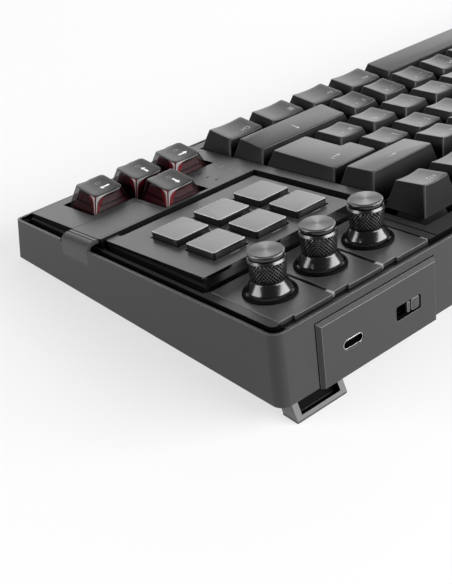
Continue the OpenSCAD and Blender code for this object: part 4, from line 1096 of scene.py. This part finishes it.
@dataclass
class ArrowKeys:
    """Four clear arrow keys: a dark top, smoked sides, a dark red core, and pale slivers of painted highlight
    and painted red glints beside two corners.
    """

    deck: Deck = DECK
    height: float = 7.95
    lean: float = -7.5
    half_gap: float = 0.475
    dish: float = 0.45
    dish_inset: float = 3.2
    corner_r: float = 1.5
    fillet: float = 0.35
    core_inset: float = 1.0
    core_swell: float = 0.25
    core_shares: tuple[float, ...] = (0.05, 0.4, 0.75)
    sign: ArrowSign = ArrowSign(4.2, 2.2, 0.9)
    sign_at: Point = (-1.4, 2.2)
    ring_radii: Point = (0.95, 0.7)
    ring_at: Point = (-1.0, -1.6)
    sliver_steps: int = 12
    sliver_start: float = 0.04
    sliver_reach: float = 0.9
    sliver_thick: float = 0.08
    highlight_wide: Sliver = Sliver(0, 0.03, 0.28, 0.1, ((0.12, 0), (0.3, 1), (0.4, 3), (5.5, 11)))
    highlight_slim: Sliver = Sliver(0, 0.03, 0.28, 0.1, ((0.12, 0), (0.3, 1), (0.4, 3), (1.6, 11)))
    glint: Sliver = Sliver(1, -0.35, 0.4, 0.2, ((0.3, 0), (3.6, 0.8)))
    places: dict[str, tuple[int, int, float]] = field(default_factory=lambda: {
        "left": (0, 0, 180.0), "down": (1, 0, 270.0), "right": (2, 0, 0.0), "up": (1, 1, 90.0)})

    @property
    def half(self) -> float:
        """Half the width of a cap's skirt."""
        return self.deck.unit / 2 - self.half_gap

    def form(self) -> CapForm:
        """Form of an arrow cap."""
        corners = tuple(box_corners(-self.half, self.half, -self.half, self.half))
        return CapForm(corners, self.height, self.lean, self.dish, self.deck.unit / 2 - self.dish_inset,
                       corner_r=self.corner_r, fillet=self.fillet)

    def build(self) -> None:
        """Builds the four keys."""
        for name, (column, row, turn) in self.places.items():
            middle = (self.deck.arrow_gap + (column + 0.5) * self.deck.unit, row * self.deck.unit)
            self._key(f"arrow_{name}", middle, turn)

    def _key(self, body: str, middle: Point, turn: float) -> None:
        """Builds one key.

        Args:
            body: body that it moves with, which names its pieces.
            middle: its middle.
            turn: direction of its arrow in degrees.
        """
        form, slot = self.form(), "clear_red_cap"
        place = self.deck.place(*middle)
        shell = form.shape()
        sides = form.SIDE_BANDS * len(round_outline(list(form.corners), form.corner_r))
        shell.paints = [int(i >= sides) for i in range(len(shell.faces))]
        own(shell.piece(f"{body}_cap", [ARROW_CLEAR, ARROW_TOP], place), body, slot, f"{body}_key")
        own(self._core(form).piece(f"{body}_core", [ARROW_CORE], place), body, slot)
        # Pale painted highlights and painted red glints beside two corners.
        slivers = self._slivers(form)
        own(slivers.piece(f"{body}_slivers", [ARROW_SLIVER_HIGHLIGHT, ARROW_GLINT], place, self.sliver_thick), body, slot)
        print_ = Print()
        print_.take(form, middle)
        for part in self.sign.parts(turn):
            print_.strip(part, self.sign_at)
        print_.ring(self.ring_radii, self.ring_at, 1)
        signs = print_.shape.piece(f"{body}_sign", [WHITE_PRINT, SIGN], self.deck.matrix(), PRINT_THICK)
        own(signs, body, slot)

    def _core(self, form: CapForm) -> Shape:
        """Builds the red block inside the clear sides.

        Args:
            form: the cap.

        Returns:
            The block.
        """
        rings = []
        for share in self.core_shares:
            draw = self.core_inset * (1.0 + self.core_swell * math.sin(share * math.pi))
            rings.append(form.ring(share, draw, lambda top, s=share: top * s))
        return Shape().capped(rings)

    def _slivers(self, form: CapForm) -> Shape:
        """Lays pale slivers of painted highlight and painted red glints up both sides of two opposite
        corners, flaring under the top.

        Args:
            form: the cap.

        Returns:
            The slivers as open sheets.
        """
        made = Shape()
        for side in (-1, 1):
            for along_x, highlight_band in ((True, self.highlight_wide), (False, self.highlight_slim)):
                self._sliver(made, form, side, along_x, highlight_band)
                self._sliver(made, form, side, along_x, self.glint)
        return made

    def _sliver(self, made: Shape, form: CapForm, side: int, along_x: bool, sliver: Sliver) -> None:
        """Adds one band beside a corner.

        Args:
            made: shape that gets it.
            form: the cap.
            side: 1 for the corner at +x and +y, -1 for the opposite one.
            along_x: whether it lies on the front or rear face.
            sliver: the band.
        """
        depth = form.rear_inset if side > 0 else form.front_inset
        lean = math.tan(math.radians(self.lean))
        rows: list[list[int]] = []
        for k in range(self.sliver_steps + 1):
            share = self.sliver_start + self.sliver_reach * k / self.sliver_steps
            near, width = sliver.band(k / self.sliver_steps)
            ends = []
            for back in (near, near + width):
                x = self.half - form.side_inset * share - (back if along_x else -sliver.out)
                y = self.half - depth * share - (-sliver.out if along_x else back)
                top = form.height + side * y * lean
                ends.append(Vector((side * x, side * y, top * share)))
            rows.append(made.ring(ends))
        for low, high in zip(rows, rows[1:]):
            quad = [low[0], low[1], high[1], high[0]]
            made.face(quad[::-1] if along_x else quad, sliver.paint)


@dataclass
class MacroKeys:
    """Six display keys on the sloping macro deck."""

    deck: Deck = DECK
    middle: float = 40.6
    front: float = 30.4
    sink: float = 0.8
    slope: float = 2.2
    first: float = 20.6
    pitch: Point = (18.95, 18.8)
    count: int = 6
    columns: int = 3
    half: float = 7.25
    corner_r: float = 1.0
    least_r: float = 0.3
    foot: float = -1.0
    rise: float = 2.4
    edge: float = 0.28
    edge_share: float = 0.3
    # Bands 6 and 7, the upper rounding and the rim round the film, take the painted highlight.
    edge_paints: tuple[int, ...] = (0, 0, 0, 0, 0, 0, 1, 1, 0)
    groove_depth: float = 0.1
    groove_heights: tuple[float, ...] = (0.55, 0.62, 0.78, 0.85)
    film_inset: float = 0.4
    film_seat: float = 0.12
    film_slack: float = 0.02
    film_rings: tuple[Point, ...] = ((0.0, -0.11), (0.0, -0.03), (0.08, 0.01))
    bar_ends: Point = (-2.9, 1.3)
    bar_behind: Point = (0.75, 1.2)
    bar_lift: float = 0.012
    bar_thick: float = 0.1

    def matrix(self) -> Matrix:
        """Finds the place of the macro deck.

        Returns:
            The way from the macro deck to the standing frame.
        """
        z = self.deck.nav_z + self.front * math.tan(math.radians(self.deck.nav_slope)) - self.sink
        slope = Matrix.Rotation(math.radians(self.slope), 4, "X")
        return self.deck.place(self.middle, self.front, z) @ slope

    def build(self) -> None:
        """Builds the six keys."""
        for number in range(self.count):
            x = (number % self.columns - 1) * self.pitch[0]
            y = self.first + (number // self.columns) * self.pitch[1]
            place = self.matrix() @ Matrix.Translation((x, y, 0.0))
            body, slot = f"macro_key_{number + 1}", "clear_display_cap"
            own(self._shell().piece(f"{body}_shell", [MACRO_SHELL, MACRO_EDGE_HIGHLIGHT], place), body, slot, body)
            own(self._film().piece(f"{body}_film", [MACRO_FILM], place), body, slot)
            bar = self._bar().piece(f"{body}_light_bar", [WINDOW], place, self.bar_thick)
            own(bar, "housing", "case_plastic")

    def _outline(self, draw_in: float, z: float) -> list[Vector]:
        """Ring of the key at a height.

        Args:
            draw_in: its inset from the key's sides.
            z: its height over the deck.

        Returns:
            The ring's points.
        """
        h = self.half - draw_in
        outline = round_outline(box_corners(-h, h, -h, h), max(self.corner_r - draw_in, self.least_r))
        return [Vector((x, y, z)) for x, y in outline]

    def _shell(self) -> Shape:
        """Builds the smoked clear block with its groove, a pale painted highlight on its top edge and shallow
        seat for the film.

        Returns:
            The block, with paint 1 on the painted highlight of its top edge.
        """
        top, e, groove = self.rise, self.edge, self.groove_heights
        rings = [(0.0, self.foot), (0.0, groove[0]), (self.groove_depth, groove[1]),
                 (self.groove_depth, groove[2]), (0.0, groove[3]), (0.0, top - e),
                 (e * self.edge_share, top - e * self.edge_share), (e, top),
                 (self.film_inset, top), (self.film_inset, top - self.film_seat)]
        return Shape().capped([self._outline(*ring) for ring in rings], list(self.edge_paints))

    def _film(self) -> Shape:
        """Pale display film in the key's top."""
        inset = self.film_inset + self.film_slack
        return Shape().capped([self._outline(inset + draw, self.rise + up) for draw, up in self.film_rings])

    def _bar(self) -> Shape:
        """Builds the light bar in the deck behind the key.

        Returns:
            The bar as an open sheet.
        """
        made = Shape()
        near, far = (self.half + step for step in self.bar_behind)
        made.sheet(box_corners(*self.bar_ends, near, far), self.bar_lift)
        return made


class Knurl:
    """Geometry Nodes tree that sets diamond points round a tapering grip."""

    NAME = "diamond_knurl"
    AWAY = "away"
    SIDES = 4
    TIP_RADIUS = 0.25
    FOOT_RADIUS = 0.5

    @classmethod
    @lru_cache(maxsize=None)
    def tree(cls) -> bpy.types.NodeTree:
        """Builds the tree at the first call.

        The base mesh has one vertex for each diamond, whose attribute points away from the axis.

        Returns:
            The tree.
        """
        tree = new_group(cls.NAME, "GeometryNodeTree",
                         {"Geometry": "Geometry", "Width": "Float", "Height": "Float", "Depth": "Float",
                          "Axis": "Vector", "Finish": "Material"}, {"Geometry": "Geometry"})
        into = add(tree, "NodeGroupInput").outputs
        point = add(tree, "GeometryNodeMeshCone", {
            "Vertices": cls.SIDES, "Radius Top": cls.TIP_RADIUS, "Radius Bottom": cls.FOOT_RADIUS,
            "Depth": 1.0}, fill_type="NGON")
        away = add(tree, "GeometryNodeInputNamedAttribute", {"Name": cls.AWAY}, data_type="FLOAT_VECTOR")
        face = add(tree, "FunctionNodeAlignRotationToVector", {"Vector": away.outputs["Attribute"]}, axis="Z")
        stand = add(tree, "FunctionNodeAlignRotationToVector", {
            "Rotation": face.outputs["Rotation"], "Vector": into["Axis"]}, axis="Y", pivot_axis="Z")
        size = add(tree, "ShaderNodeCombineXYZ", {"X": into["Width"], "Y": into["Height"],
                                                  "Z": into["Depth"]})
        spread = add(tree, "GeometryNodeInstanceOnPoints", {
            "Points": into["Geometry"], "Instance": point.outputs["Mesh"],
            "Rotation": stand.outputs["Rotation"], "Scale": size.outputs["Vector"]})
        real = add(tree, "GeometryNodeRealizeInstances", {"Geometry": spread.outputs["Instances"]})
        flat = add(tree, "GeometryNodeSetShadeSmooth", {"Geometry": real.outputs["Geometry"],
                                                        "Shade Smooth": False})
        dress = add(tree, "GeometryNodeSetMaterial", {"Geometry": flat.outputs["Geometry"],
                                                      "Material": into["Finish"]})
        add(tree, "NodeGroupOutput", {"Geometry": dress.outputs["Geometry"]})
        return tree


@dataclass
class Knobs:
    """Three turned knobs with a flared skirt, a knurled grip and a spun top."""

    deck: Deck = DECK
    base: float = 0.05
    skirt_r: float = 7.5
    waist_r: float = 5.5
    grip_low: float = 5.7
    grip_high: float = 6.3
    knurl_z: float = 4.2
    knurl_h: float = 6.1
    disc_r: float = 5.9
    disc_edge: float = 0.48
    height: float = 13.35
    segments: int = 96
    knurl_round: int = 32
    knurl_rows: int = 9
    knurl_depth: float = 0.14
    knurl_fill: float = 0.79
    knurl_end: float = 0.3
    ring_ends: Point = (0.1, 1.0)
    top_level: float = 0.13
    top_roughness: float = 0.28
    top_anisotropy: float = 0.82

    @property
    def knurl_top(self) -> float:
        """Height of the knurl's upper end."""
        return self.knurl_z + self.knurl_h

    def build(self) -> None:
        """Builds the three knobs."""
        for number in (1, 2, 3):
            place = self.deck.place(self.deck.knob_x(number), self.deck.knob_y, self.base)
            body, slot = f"knob_{number}", "knob_metal"
            core = self._turned(self._body_profile())
            core.paint_by_height(self._body_paint)
            own(core.piece(f"{body}_turned", [KNOB_GLOSS, KNOB_RING, KNOB_KNURL_HIGHLIGHT], place), body, slot, body)
            top = place @ Vector((0.0, 0.0, self.height))
            spun = Finish(f"{body}_spun_top", grey(self.top_level), self.top_roughness, metallic=1.0,
                          grain_height=0.0, anisotropy=self.top_anisotropy, spun_axis=tuple(top))
            disc = self._turned(self._disc_profile())
            # The disc's side under its top edge takes the dark gloss: painted shade on the side of the spun
            # disc.
            disc.paint_by_height(lambda z: int(z < self.height - self.disc_edge))
            own(disc.piece(f"{body}_disc", [spun, KNOB_GLOSS], place), body, slot)
            own(self._grip(body, place), body, slot)

    def _body_paint(self, z: float) -> int:
        """Chooses the finish of the turned body at a height.

        Args:
            z: the height.

        Returns:
            1 on the bright ring over the grip, 2 between the diamonds, whose bright metal is a painted
            highlight, and 0 elsewhere.
        """
        if self.ring_ends[0] < z - self.knurl_top < self.ring_ends[1]:
            return 1
        return 2 if self.knurl_z + self.knurl_end < z < self.knurl_top - self.knurl_end else 0

    def _body_profile(self) -> list[Point]:
        """Draws the outside of the skirt, waist, grip core and neck.

        Returns:
            Radius and height of each step, upwards.
        """
        skirt, waist, low, top = self.skirt_r, self.waist_r, self.knurl_z, self.knurl_top
        grip, depth, neck = self.grip_high, self.knurl_depth, self.disc_r - 0.6
        return [(3.0, 0.02), (skirt - 0.3, 0.0), (skirt, 0.12), (skirt, 0.42), (skirt - 0.12, 0.6),
                (waist + 0.25, 3.1), (waist + 0.05, 3.3), (waist, 3.5), (waist, low),
                (self.grip_low - depth, low + 0.1), (grip - depth, top - 0.1), (grip - 0.05, top),
                (grip - 0.02, top + 0.12), (self.disc_r, top + 0.95), (neck, top + 1.1), (neck, top + 1.5)]

    def _disc_profile(self) -> list[Point]:
        """Draws the outside of the top disc.

        Returns:
            Radius and height of each step, upwards.
        """
        r, low, top = self.disc_r, self.knurl_top + 1.4, self.height
        return [(r - 0.7, low), (r - 0.08, low), (r, low + 0.08), (r, top - 0.55), (r - 0.06, top - 0.45),
                (r - 0.42, top - 0.06), (r - 0.5, top), (0.4, top)]

    def _turned(self, profile: list[Point]) -> Shape:
        """Turns a profile about the knob's axis and closes its top.

        Args:
            profile: radius and height of each step.

        Returns:
            The turned shape.
        """
        angles = [2 * math.pi * k / self.segments for k in range(self.segments)]
        return Shape().capped([[Vector((r * math.cos(a), r * math.sin(a), z)) for a in angles]
                               for r, z in profile])

    def _grip(self, body: str, place: Matrix) -> bpy.types.Object:
        """Grows the diamond knurl of one knob.

        Args:
            body: body that it moves with.
            place: way from the knob to the frame.

        Returns:
            The knurl.
        """
        base = bpy.data.meshes.new(f"{body}_knurl")
        points: list[Vector] = []
        normals: list[float] = []
        turn = place.to_3x3().normalized()
        for row in range(self.knurl_rows):
            share = (row + 0.5) / self.knurl_rows
            r = self.grip_low + (self.grip_high - self.grip_low) * share - self.knurl_depth
            z = self.knurl_z + self.knurl_h * share
            for k in range(self.knurl_round):
                a = 2 * math.pi * (k + 0.5 * (row % 2)) / self.knurl_round
                points.append(place @ Vector((r * math.cos(a), r * math.sin(a), z)))
                normals.extend(turn @ Vector((math.cos(a), math.sin(a), 0.0)))
        base.from_pydata(points, [], [])
        base.attributes.new(Knurl.AWAY, "FLOAT_VECTOR", "POINT").data.foreach_set("vector", normals)
        width = 2 * math.pi * self.grip_high / self.knurl_round
        values = {"Width": width * MM * self.knurl_fill,
                  "Height": 2 * self.knurl_h / self.knurl_rows * MM * self.knurl_fill,
                  "Depth": self.knurl_depth * MM, "Axis": tuple(turn @ Vector((0.0, 0.0, 1.0))),
                  "Finish": KNOB_DARK.material()}
        return grow(f"{body}_knurl", base, Knurl.tree(), values)


@dataclass
class Plates:
    """Small signs on the arrow deck: light dashes and the dark marks that name them."""

    dash_x: float = 10.2
    dash_size: Point = (3.2, 0.36)
    mark_x: float = 20.4
    mark_ahead: float = 1.6
    mark_size: Point = (1.0, 0.8)
    tail_shift: float = 1.2
    tail_size: Point = (0.7, 0.3)
    first_y: float = 15.9
    pitch: float = 5.2
    lift: float = 0.015

    def build(self) -> None:
        """Lays three dashes and three marks."""
        dashes, marks = Shape(), Shape()
        for k in range(3):
            y = self.first_y + self.pitch * k
            self._bar(dashes, self.dash_x, y, self.dash_size)
            self._bar(marks, self.mark_x, y - self.mark_ahead, self.mark_size)
            self._bar(marks, self.mark_x - self.tail_shift, y - self.mark_ahead, self.tail_size)
        for made, finish, name in ((dashes, SIGN, "lights"), (marks, MATT_BLACK_AND_SHADE, "marks")):
            piece = made.piece(f"indicator_{name}", [finish], DECK.nav_matrix(), PRINT_THICK)
            own(piece, "housing", "case_plastic")

    def _bar(self, made: Shape, x: float, y: float, size: Point) -> None:
        """Adds one flat bar of a given width and depth."""
        width, depth = size
        made.sheet(box_corners(x - width / 2, x + width / 2, y - depth / 2, y + depth / 2), self.lift)


@dataclass(frozen=True)
class Facet:
    """One face of a solid in deck millimetres."""

    middle: Vector
    normal: Vector
    corners: tuple[Vector, ...]


class Inside:
    """Rules that find the faces of a solid which take its second finish: painted shade in walls, grooves,
    recesses and openings, and black gloss on a plate's sides.
    """

    STEEP = 0.5
    LEVEL = 0.7
    REARWARD = 0.9
    FLAT = 0.95
    DEEP = -2.0
    LEDGE = -0.6
    CEILING = -8.0
    REAR = 123.125
    PANEL_BED = (3.0, 0.3)
    SOLID_MIDDLE = (-104.55, 53.0)
    RECESS_HALF = 9.6

    @classmethod
    def cover(cls, facet: Facet, _: Vector) -> bool:
        """Walls and deep floors of the top cover, which take painted shade."""
        return abs(facet.normal.z) < cls.STEEP or facet.middle.z < cls.DEEP

    @classmethod
    def side(cls, facet: Facet, _: Vector) -> bool:
        """Steep sides of a plate."""
        return abs(facet.normal.z) < cls.STEEP

    @classmethod
    def tray(cls, facet: Facet, _: Vector) -> bool:
        """Finds the faces that take painted shade: the inside of the lower body, its rim's ledge and the bed
        of the rear panel.

        Args:
            facet: the face.

        Returns:
            Whether it takes the painted shade.
        """
        at, way = facet.middle, facet.normal
        if way.z > cls.LEVEL:
            return at.z < cls.LEDGE
        if way.z < -cls.LEVEL:
            return at.z > cls.CEILING
        inward = way.x * (at.x - cls.SOLID_MIDDLE[0]) + way.y * (at.y - cls.SOLID_MIDDLE[1]) < 0
        low, high = (cls.REAR - depth for depth in cls.PANEL_BED)
        return inward or (way.y > cls.REARWARD and low < at.y < high)

    @classmethod
    def recess(cls, facet: Facet, middle: Vector) -> bool:
        """Recess in the rear face of a flip foot, which takes painted shade."""
        return all(abs(corner.x - middle.x) < cls.RECESS_HALF for corner in facet.corners)

    @classmethod
    def rim(cls, facet: Facet, _: Vector) -> bool:
        """Upper and side faces of the rear panel, in its bed, and the walls of its openings, which take
        painted shade.
        """
        return abs(facet.normal.z) > cls.FLAT or abs(facet.normal.x) > cls.FLAT

    @classmethod
    def mouth(cls, facet: Facet, _: Vector) -> bool:
        """All of the port's mouth but its rim, which takes painted shade."""
        return facet.normal.y < cls.LEVEL


@dataclass(frozen=True)
class Dress:
    """Finish and edge rounding of a carried over solid, a second finish for some faces, mostly painted shade,
    and a painted highlight for its bevelled edges.
    """

    finish: Finish
    edge: float = 0.25
    second: Finish | None = None
    rule: Callable[[Facet, Vector], bool] | None = None
    line: Finish | None = None


class Body:
    """Carried over solids: their finishes and rounded edges."""

    WELD = 0.002
    SEGMENTS = 3
    FLAT_ANGLE = 0.6
    EDGE_ANGLE = 32

    # Second finishes paint shade into walls, grooves, recesses and the port's mouth, and black gloss on the
    # macro deck's sides; edge highlights are pale painted bevels.
    DRESSES: dict[str, Dress] = {
        "bottom_case": Dress(BODY, 0.22, GROOVE_PAINTED_SHADE, Inside.tray, CASE_EDGE_HIGHLIGHT),
        "top_case": Dress(CASE, 0.3, GROOVE_PAINTED_SHADE, Inside.cover),
        "badge_plate": Dress(CASE, 0.12),
        "light_diffusers": Dress(DIFFUSER, 0.1),
        "switch_plate": Dress(DARK_STEEL, 0.0),
        "main_board": Dress(BOARD, 0.0),
        "io_board": Dress(BOARD, 0.0),
        "switch_housings": Dress(SWITCH, 0.0),
        "stabilizers": Dress(DARK_PLASTIC, 0.0),
        "plate_screws": Dress(STEEL, 0.1),
        "module_body": Dress(GLOSS, 0.2),
        "macro_deck": Dress(MODULE_DECK, 0.16, GLOSS, Inside.side),
        "display_panel": Dress(GLOSS, 0.1),
        "knob_tiles": Dress(TILE, 0.15, line=CASE_EDGE_HIGHLIGHT),
        "indicator_windows": Dress(WINDOW, 0.1),
        "knob_collars": Dress(MATT_BLACK_AND_SHADE, 0.15),
        "rotary_encoders": Dress(STEEL, 0.0),
        "rear_panel": Dress(BODY, 0.2, GROOVE_PAINTED_SHADE, Inside.rim, CASE_EDGE_HIGHLIGHT),
        "usb_c_shell": Dress(STEEL, 0.08, MATT_BLACK_AND_SHADE, Inside.mouth),
        "usb_c_tongue": Dress(MATT_BLACK_AND_SHADE, 0.05),
        "mode_switch_body": Dress(MATT_BLACK_AND_SHADE, 0.05),
        "rubber_pads": Dress(RUBBER, 0.2),
        **{f"encoder_shaft_{number}": Dress(STEEL, 0.1) for number in (1, 2, 3)},
        "flip_foot_left": Dress(FOOT, 0.3, MATT_BLACK_AND_SHADE, Inside.recess),
        "flip_foot_right": Dress(FOOT, 0.3, MATT_BLACK_AND_SHADE, Inside.recess),
        "foot_tip_left": Dress(SOLE, 0.15),
        "foot_tip_right": Dress(SOLE, 0.15)}

    def build(self) -> None:
        """Dresses every carried over solid."""
        for node, dress in self.DRESSES.items():
            self._dress(frame["nodes"][node], dress)
            LOG.info("solid %s dressed in %s", node, dress.finish.name)

    def _dress(self, solid: bpy.types.Object, dress: Dress) -> None:
        """Gives one solid its finishes and rounded edges.

        Args:
            solid: the carried over solid.
            dress: its finishes and rounding.
        """
        solid.data.materials.clear()
        solid.data.materials.append(dress.finish.material())
        if dress.second:
            solid.data.materials.append(dress.second.material())
            self._divide(solid, dress.rule)
        assign(solid.modifiers.new("weld", "WELD"), merge_threshold=self.WELD * MM)
        assign(solid.modifiers.new("flat_faces", "DECIMATE"), decimate_type="DISSOLVE",
               angle_limit=math.radians(self.FLAT_ANGLE))
        if dress.edge:
            bevel = solid.modifiers.new("edges", "BEVEL")
            assign(bevel, width=dress.edge * MM, segments=self.SEGMENTS, limit_method="ANGLE",
                   angle_limit=math.radians(self.EDGE_ANGLE), harden_normals=True)
            # Bevel faces take the painted highlight.
            if dress.line:
                solid.data.materials.append(dress.line.material())
                bevel.material = len(solid.data.materials) - 1
            assign(solid.modifiers.new("even_faces", "WEIGHTED_NORMAL"), keep_sharp=True)
        solid.data.polygons.foreach_set("use_smooth", [True] * len(solid.data.polygons))

    @staticmethod
    def _divide(solid: bpy.types.Object, rule: Callable[[Facet, Vector], bool]) -> None:
        """Gives the second finish to the faces that a rule finds.

        Args:
            solid: the carried over solid.
            rule: tells from a face and the solid's middle whether it takes the second finish.
        """
        back = DECK.matrix().inverted()
        turn = back.to_3x3().normalized()
        points = [back @ (solid.matrix_world @ v.co) for v in solid.data.vertices]
        middle = sum(points, Vector()) / len(points)
        for face in solid.data.polygons:
            corners = tuple(points[i] for i in face.vertices)
            facet = Facet(sum(corners, Vector()) / len(corners), turn @ face.normal, corners)
            face.material_index = int(rule(facet, middle))


@dataclass
class ModeSwitch:
    """Slider of the mode switch: a dark foot with a raised pad and a rib beside it."""

    left: float = 22.15
    right: float = 28.55
    z: float = -15.6
    half: float = 2.35
    back: float = 122.5
    step: float = 123.2
    face: float = 124.0
    overlap: float = 0.1
    foot_r: float = 0.7
    pad_ends: Point = (0.25, 4.25)
    pad_inset: float = 0.2
    pad_r: float = 0.9
    rib_ends: Point = (1.55, 0.15)
    rib_inset: float = 0.45
    rib_r: float = 0.5
    edge: Point = (0.07, 0.22)

    def build(self) -> None:
        """Builds the slider."""
        made, raised = Shape(), (self.step - self.overlap, self.face)
        pad = (self.left + self.pad_ends[0], self.left + self.pad_ends[1])
        rib = (self.right - self.rib_ends[0], self.right - self.rib_ends[1])
        self._block(made, (self.left, self.right), self.half, self.foot_r, (self.back, self.step), 2)
        self._block(made, pad, self.half - self.pad_inset, self.pad_r, raised, 0)
        self._block(made, rib, self.half - self.rib_inset, self.rib_r, raised, 0)
        piece = made.piece("mode_slider_grip", [CASE, CASE_EDGE_HIGHLIGHT, MATT_BLACK_AND_SHADE], DECK.matrix())
        own(piece, "mode_slider", "case_plastic", "mode_switch_slider")

    def _block(self, made: Shape, ends: Point, half: float, radius: float, depth: Point, paint: int) -> None:
        """Adds a rounded block that stands out to the rear.

        Args:
            made: shape that gets it.
            ends: its ends in x.
            half: half its height.
            radius: radius of its corners.
            depth: where it starts and where its face is.
            paint: paint number of its face.
        """
        (low, high), (small, large) = depth, self.edge
        rings = []
        for draw, y in ((0.0, low), (0.0, high - large), (small, high - small), (large, high)):
            corners = box_corners(self.z - half + draw, self.z + half - draw, ends[0] + draw, ends[1] - draw)
            rings.append([Vector((x, y, z)) for z, x in round_outline(corners, radius - draw, edge=2)])
        # Edges of the pad and the rib take the painted highlight.
        edge = paint or 1
        made.capped(rings, [paint, edge, edge], paint)


@dataclass(frozen=True)
class Softbox:
    """Soft area light that looks at the subject.

    Its turn is in degrees about the vertical from +x, its rise in degrees above the floor, its distance and
    size in metres and its power in watts.
    """

    name: str
    turn: float
    rise: float
    away: float
    width: float
    depth: float
    power: float

    def build(self, subject: Vector) -> None:
        """Adds the light.

        Args:
            subject: where it looks.
        """
        lamp = bpy.data.lights.new(self.name, "AREA")
        assign(lamp, shape="RECTANGLE", size=self.width, size_y=self.depth, energy=self.power)
        level, climb = math.radians(self.turn), math.radians(self.rise)
        run = math.cos(climb)
        toward = Vector((run * math.cos(level), run * math.sin(level), math.sin(climb)))
        spin = (-toward).to_track_quat("-Z", "Y").to_matrix().to_4x4()
        made = new_object(self.name, lamp)
        made.matrix_world = Matrix.Translation(subject + self.away * toward) @ spin


@dataclass
class Studio:
    """Pale floor, soft lights and the camera at the photograph's place."""

    deck: Deck = DECK
    lens: float = 88.62
    sensor: float = 36.0
    clip: Point = (0.01, 20.0)
    eye: Triple = (262.383, 331.190, 163.527)
    right: Triple = (-0.74305, 0.65922, -0.11533)
    down: Triple = (0.39169, 0.28865, -0.87365)
    ahead: Triple = (-0.54264, -0.69434, -0.47269)
    subject: Triple = (0.12, 0.02, 0.03)
    softboxes: tuple[Softbox, ...] = (
        Softbox("back_softbox", -130.0, 13.5, 1.15, 2.2, 0.56, 9.0),
        Softbox("left_softbox", -25.0, 23.0, 1.3, 0.9, 0.6, 13.0),
        Softbox("right_softbox", 121.0, 25.0, 1.3, 1.5, 0.75, 36.5))
    floor_half: float = 4000.0
    floor_level: float = 0.7
    floor_seen_drop: float = 0.4
    pale_reach: Point = (0.6, 2.2)
    pale_level: Point = (0.61, 0.94)
    surround: float = 0.13
    surround_seen: float = 0.82

    def build(self) -> None:
        """Builds floor, world, lights and camera."""
        self._floor()
        self._world()
        for softbox in self.softboxes:
            softbox.build(Vector(self.subject))
        self._camera()
        bpy.context.scene.view_settings.view_transform = "Standard"

    def _floor(self) -> None:
        """Adds the floor under the feet."""
        made, h = Shape(), self.floor_half
        made.sheet(box_corners(-h, h, -h, h), 0.0)
        paper = Finish("pale_floor", grey(self.floor_level), 0.85, specular=0.2, grain_height=0.0,
                       tone_spread=0.01, rough_spread=0.0)
        self._pale(paper.material().node_tree)
        made.piece("floor", [paper], Matrix.Scale(MM, 4))

    def _pale(self, tree: bpy.types.NodeTree) -> None:
        """Lifts the floor toward white where it is seen, more so far off; the shadow near the object stays.

        Args:
            tree: tree of the floor's material.
        """
        path = add(tree, "ShaderNodeLightPath").outputs
        direct = maths(tree, "ADD", path["Is Camera Ray"], path["Is Transmission Ray"])
        seen = maths(tree, "ADD", direct, path["Is Glossy Ray"])
        place = add(tree, "ShaderNodeTexCoord").outputs["Object"]
        reach = add(tree, "ShaderNodeVectorMath", {0: place}, operation="LENGTH").outputs["Value"]
        (near, far), (low, high) = self.pale_reach, self.pale_level
        level = add(tree, "ShaderNodeMapRange", {"Value": reach, "From Min": near, "From Max": far,
                                                 "To Min": low, "To Max": high}).outputs["Result"]
        feed(tree.nodes["Principled BSDF"], {
            "Emission Strength": maths(tree, "MULTIPLY", seen, level),
            "Base Color": maths(tree, "MULTIPLY_ADD", seen, -self.floor_seen_drop, self.floor_level),
            "Emission Color": (*grey(1.0), 1.0)})

    def _world(self) -> None:
        """Sets an even surround, dim for the object and pale where it is seen."""
        world = bpy.data.worlds.new("surround")
        world.use_nodes = True
        tree = world.node_tree
        seen = add(tree, "ShaderNodeLightPath").outputs["Is Camera Ray"]
        level = maths(tree, "MULTIPLY_ADD", seen, self.surround_seen, self.surround)
        feed(tree.nodes["Background"], {"Color": (*grey(1.0), 1.0), "Strength": level})
        bpy.context.scene.world = world

    def _camera(self) -> None:
        """Places the camera."""
        lens = bpy.data.cameras.new("photo_view")
        assign(lens, sensor_fit="HORIZONTAL", sensor_width=self.sensor, lens=self.lens,
               clip_start=self.clip[0], clip_end=self.clip[1])
        turn = Matrix.Rotation(self.deck.tilt, 3, "X")
        axes = (turn @ Vector(self.right), -(turn @ Vector(self.down)), -(turn @ Vector(self.ahead)))
        spin = Matrix(axes).transposed().to_quaternion().to_matrix().to_4x4()
        made = new_object("photo_view", lens)
        made.matrix_world = Matrix.Translation(self.deck.matrix() @ Vector(self.eye)) @ spin
        bpy.context.scene.camera = made


def main() -> None:
    """Builds every sub-assembly in order."""
    logging.basicConfig(level=logging.INFO, format="%(name)s: %(message)s")
    for part in (KeyBank(), ArrowKeys(), MacroKeys(), Knobs(), Plates(), ModeSwitch(), Body(), Studio()):
        part.build()
        LOG.info("built %s", type(part).__name__)


if __name__ == "__main__":
    main()
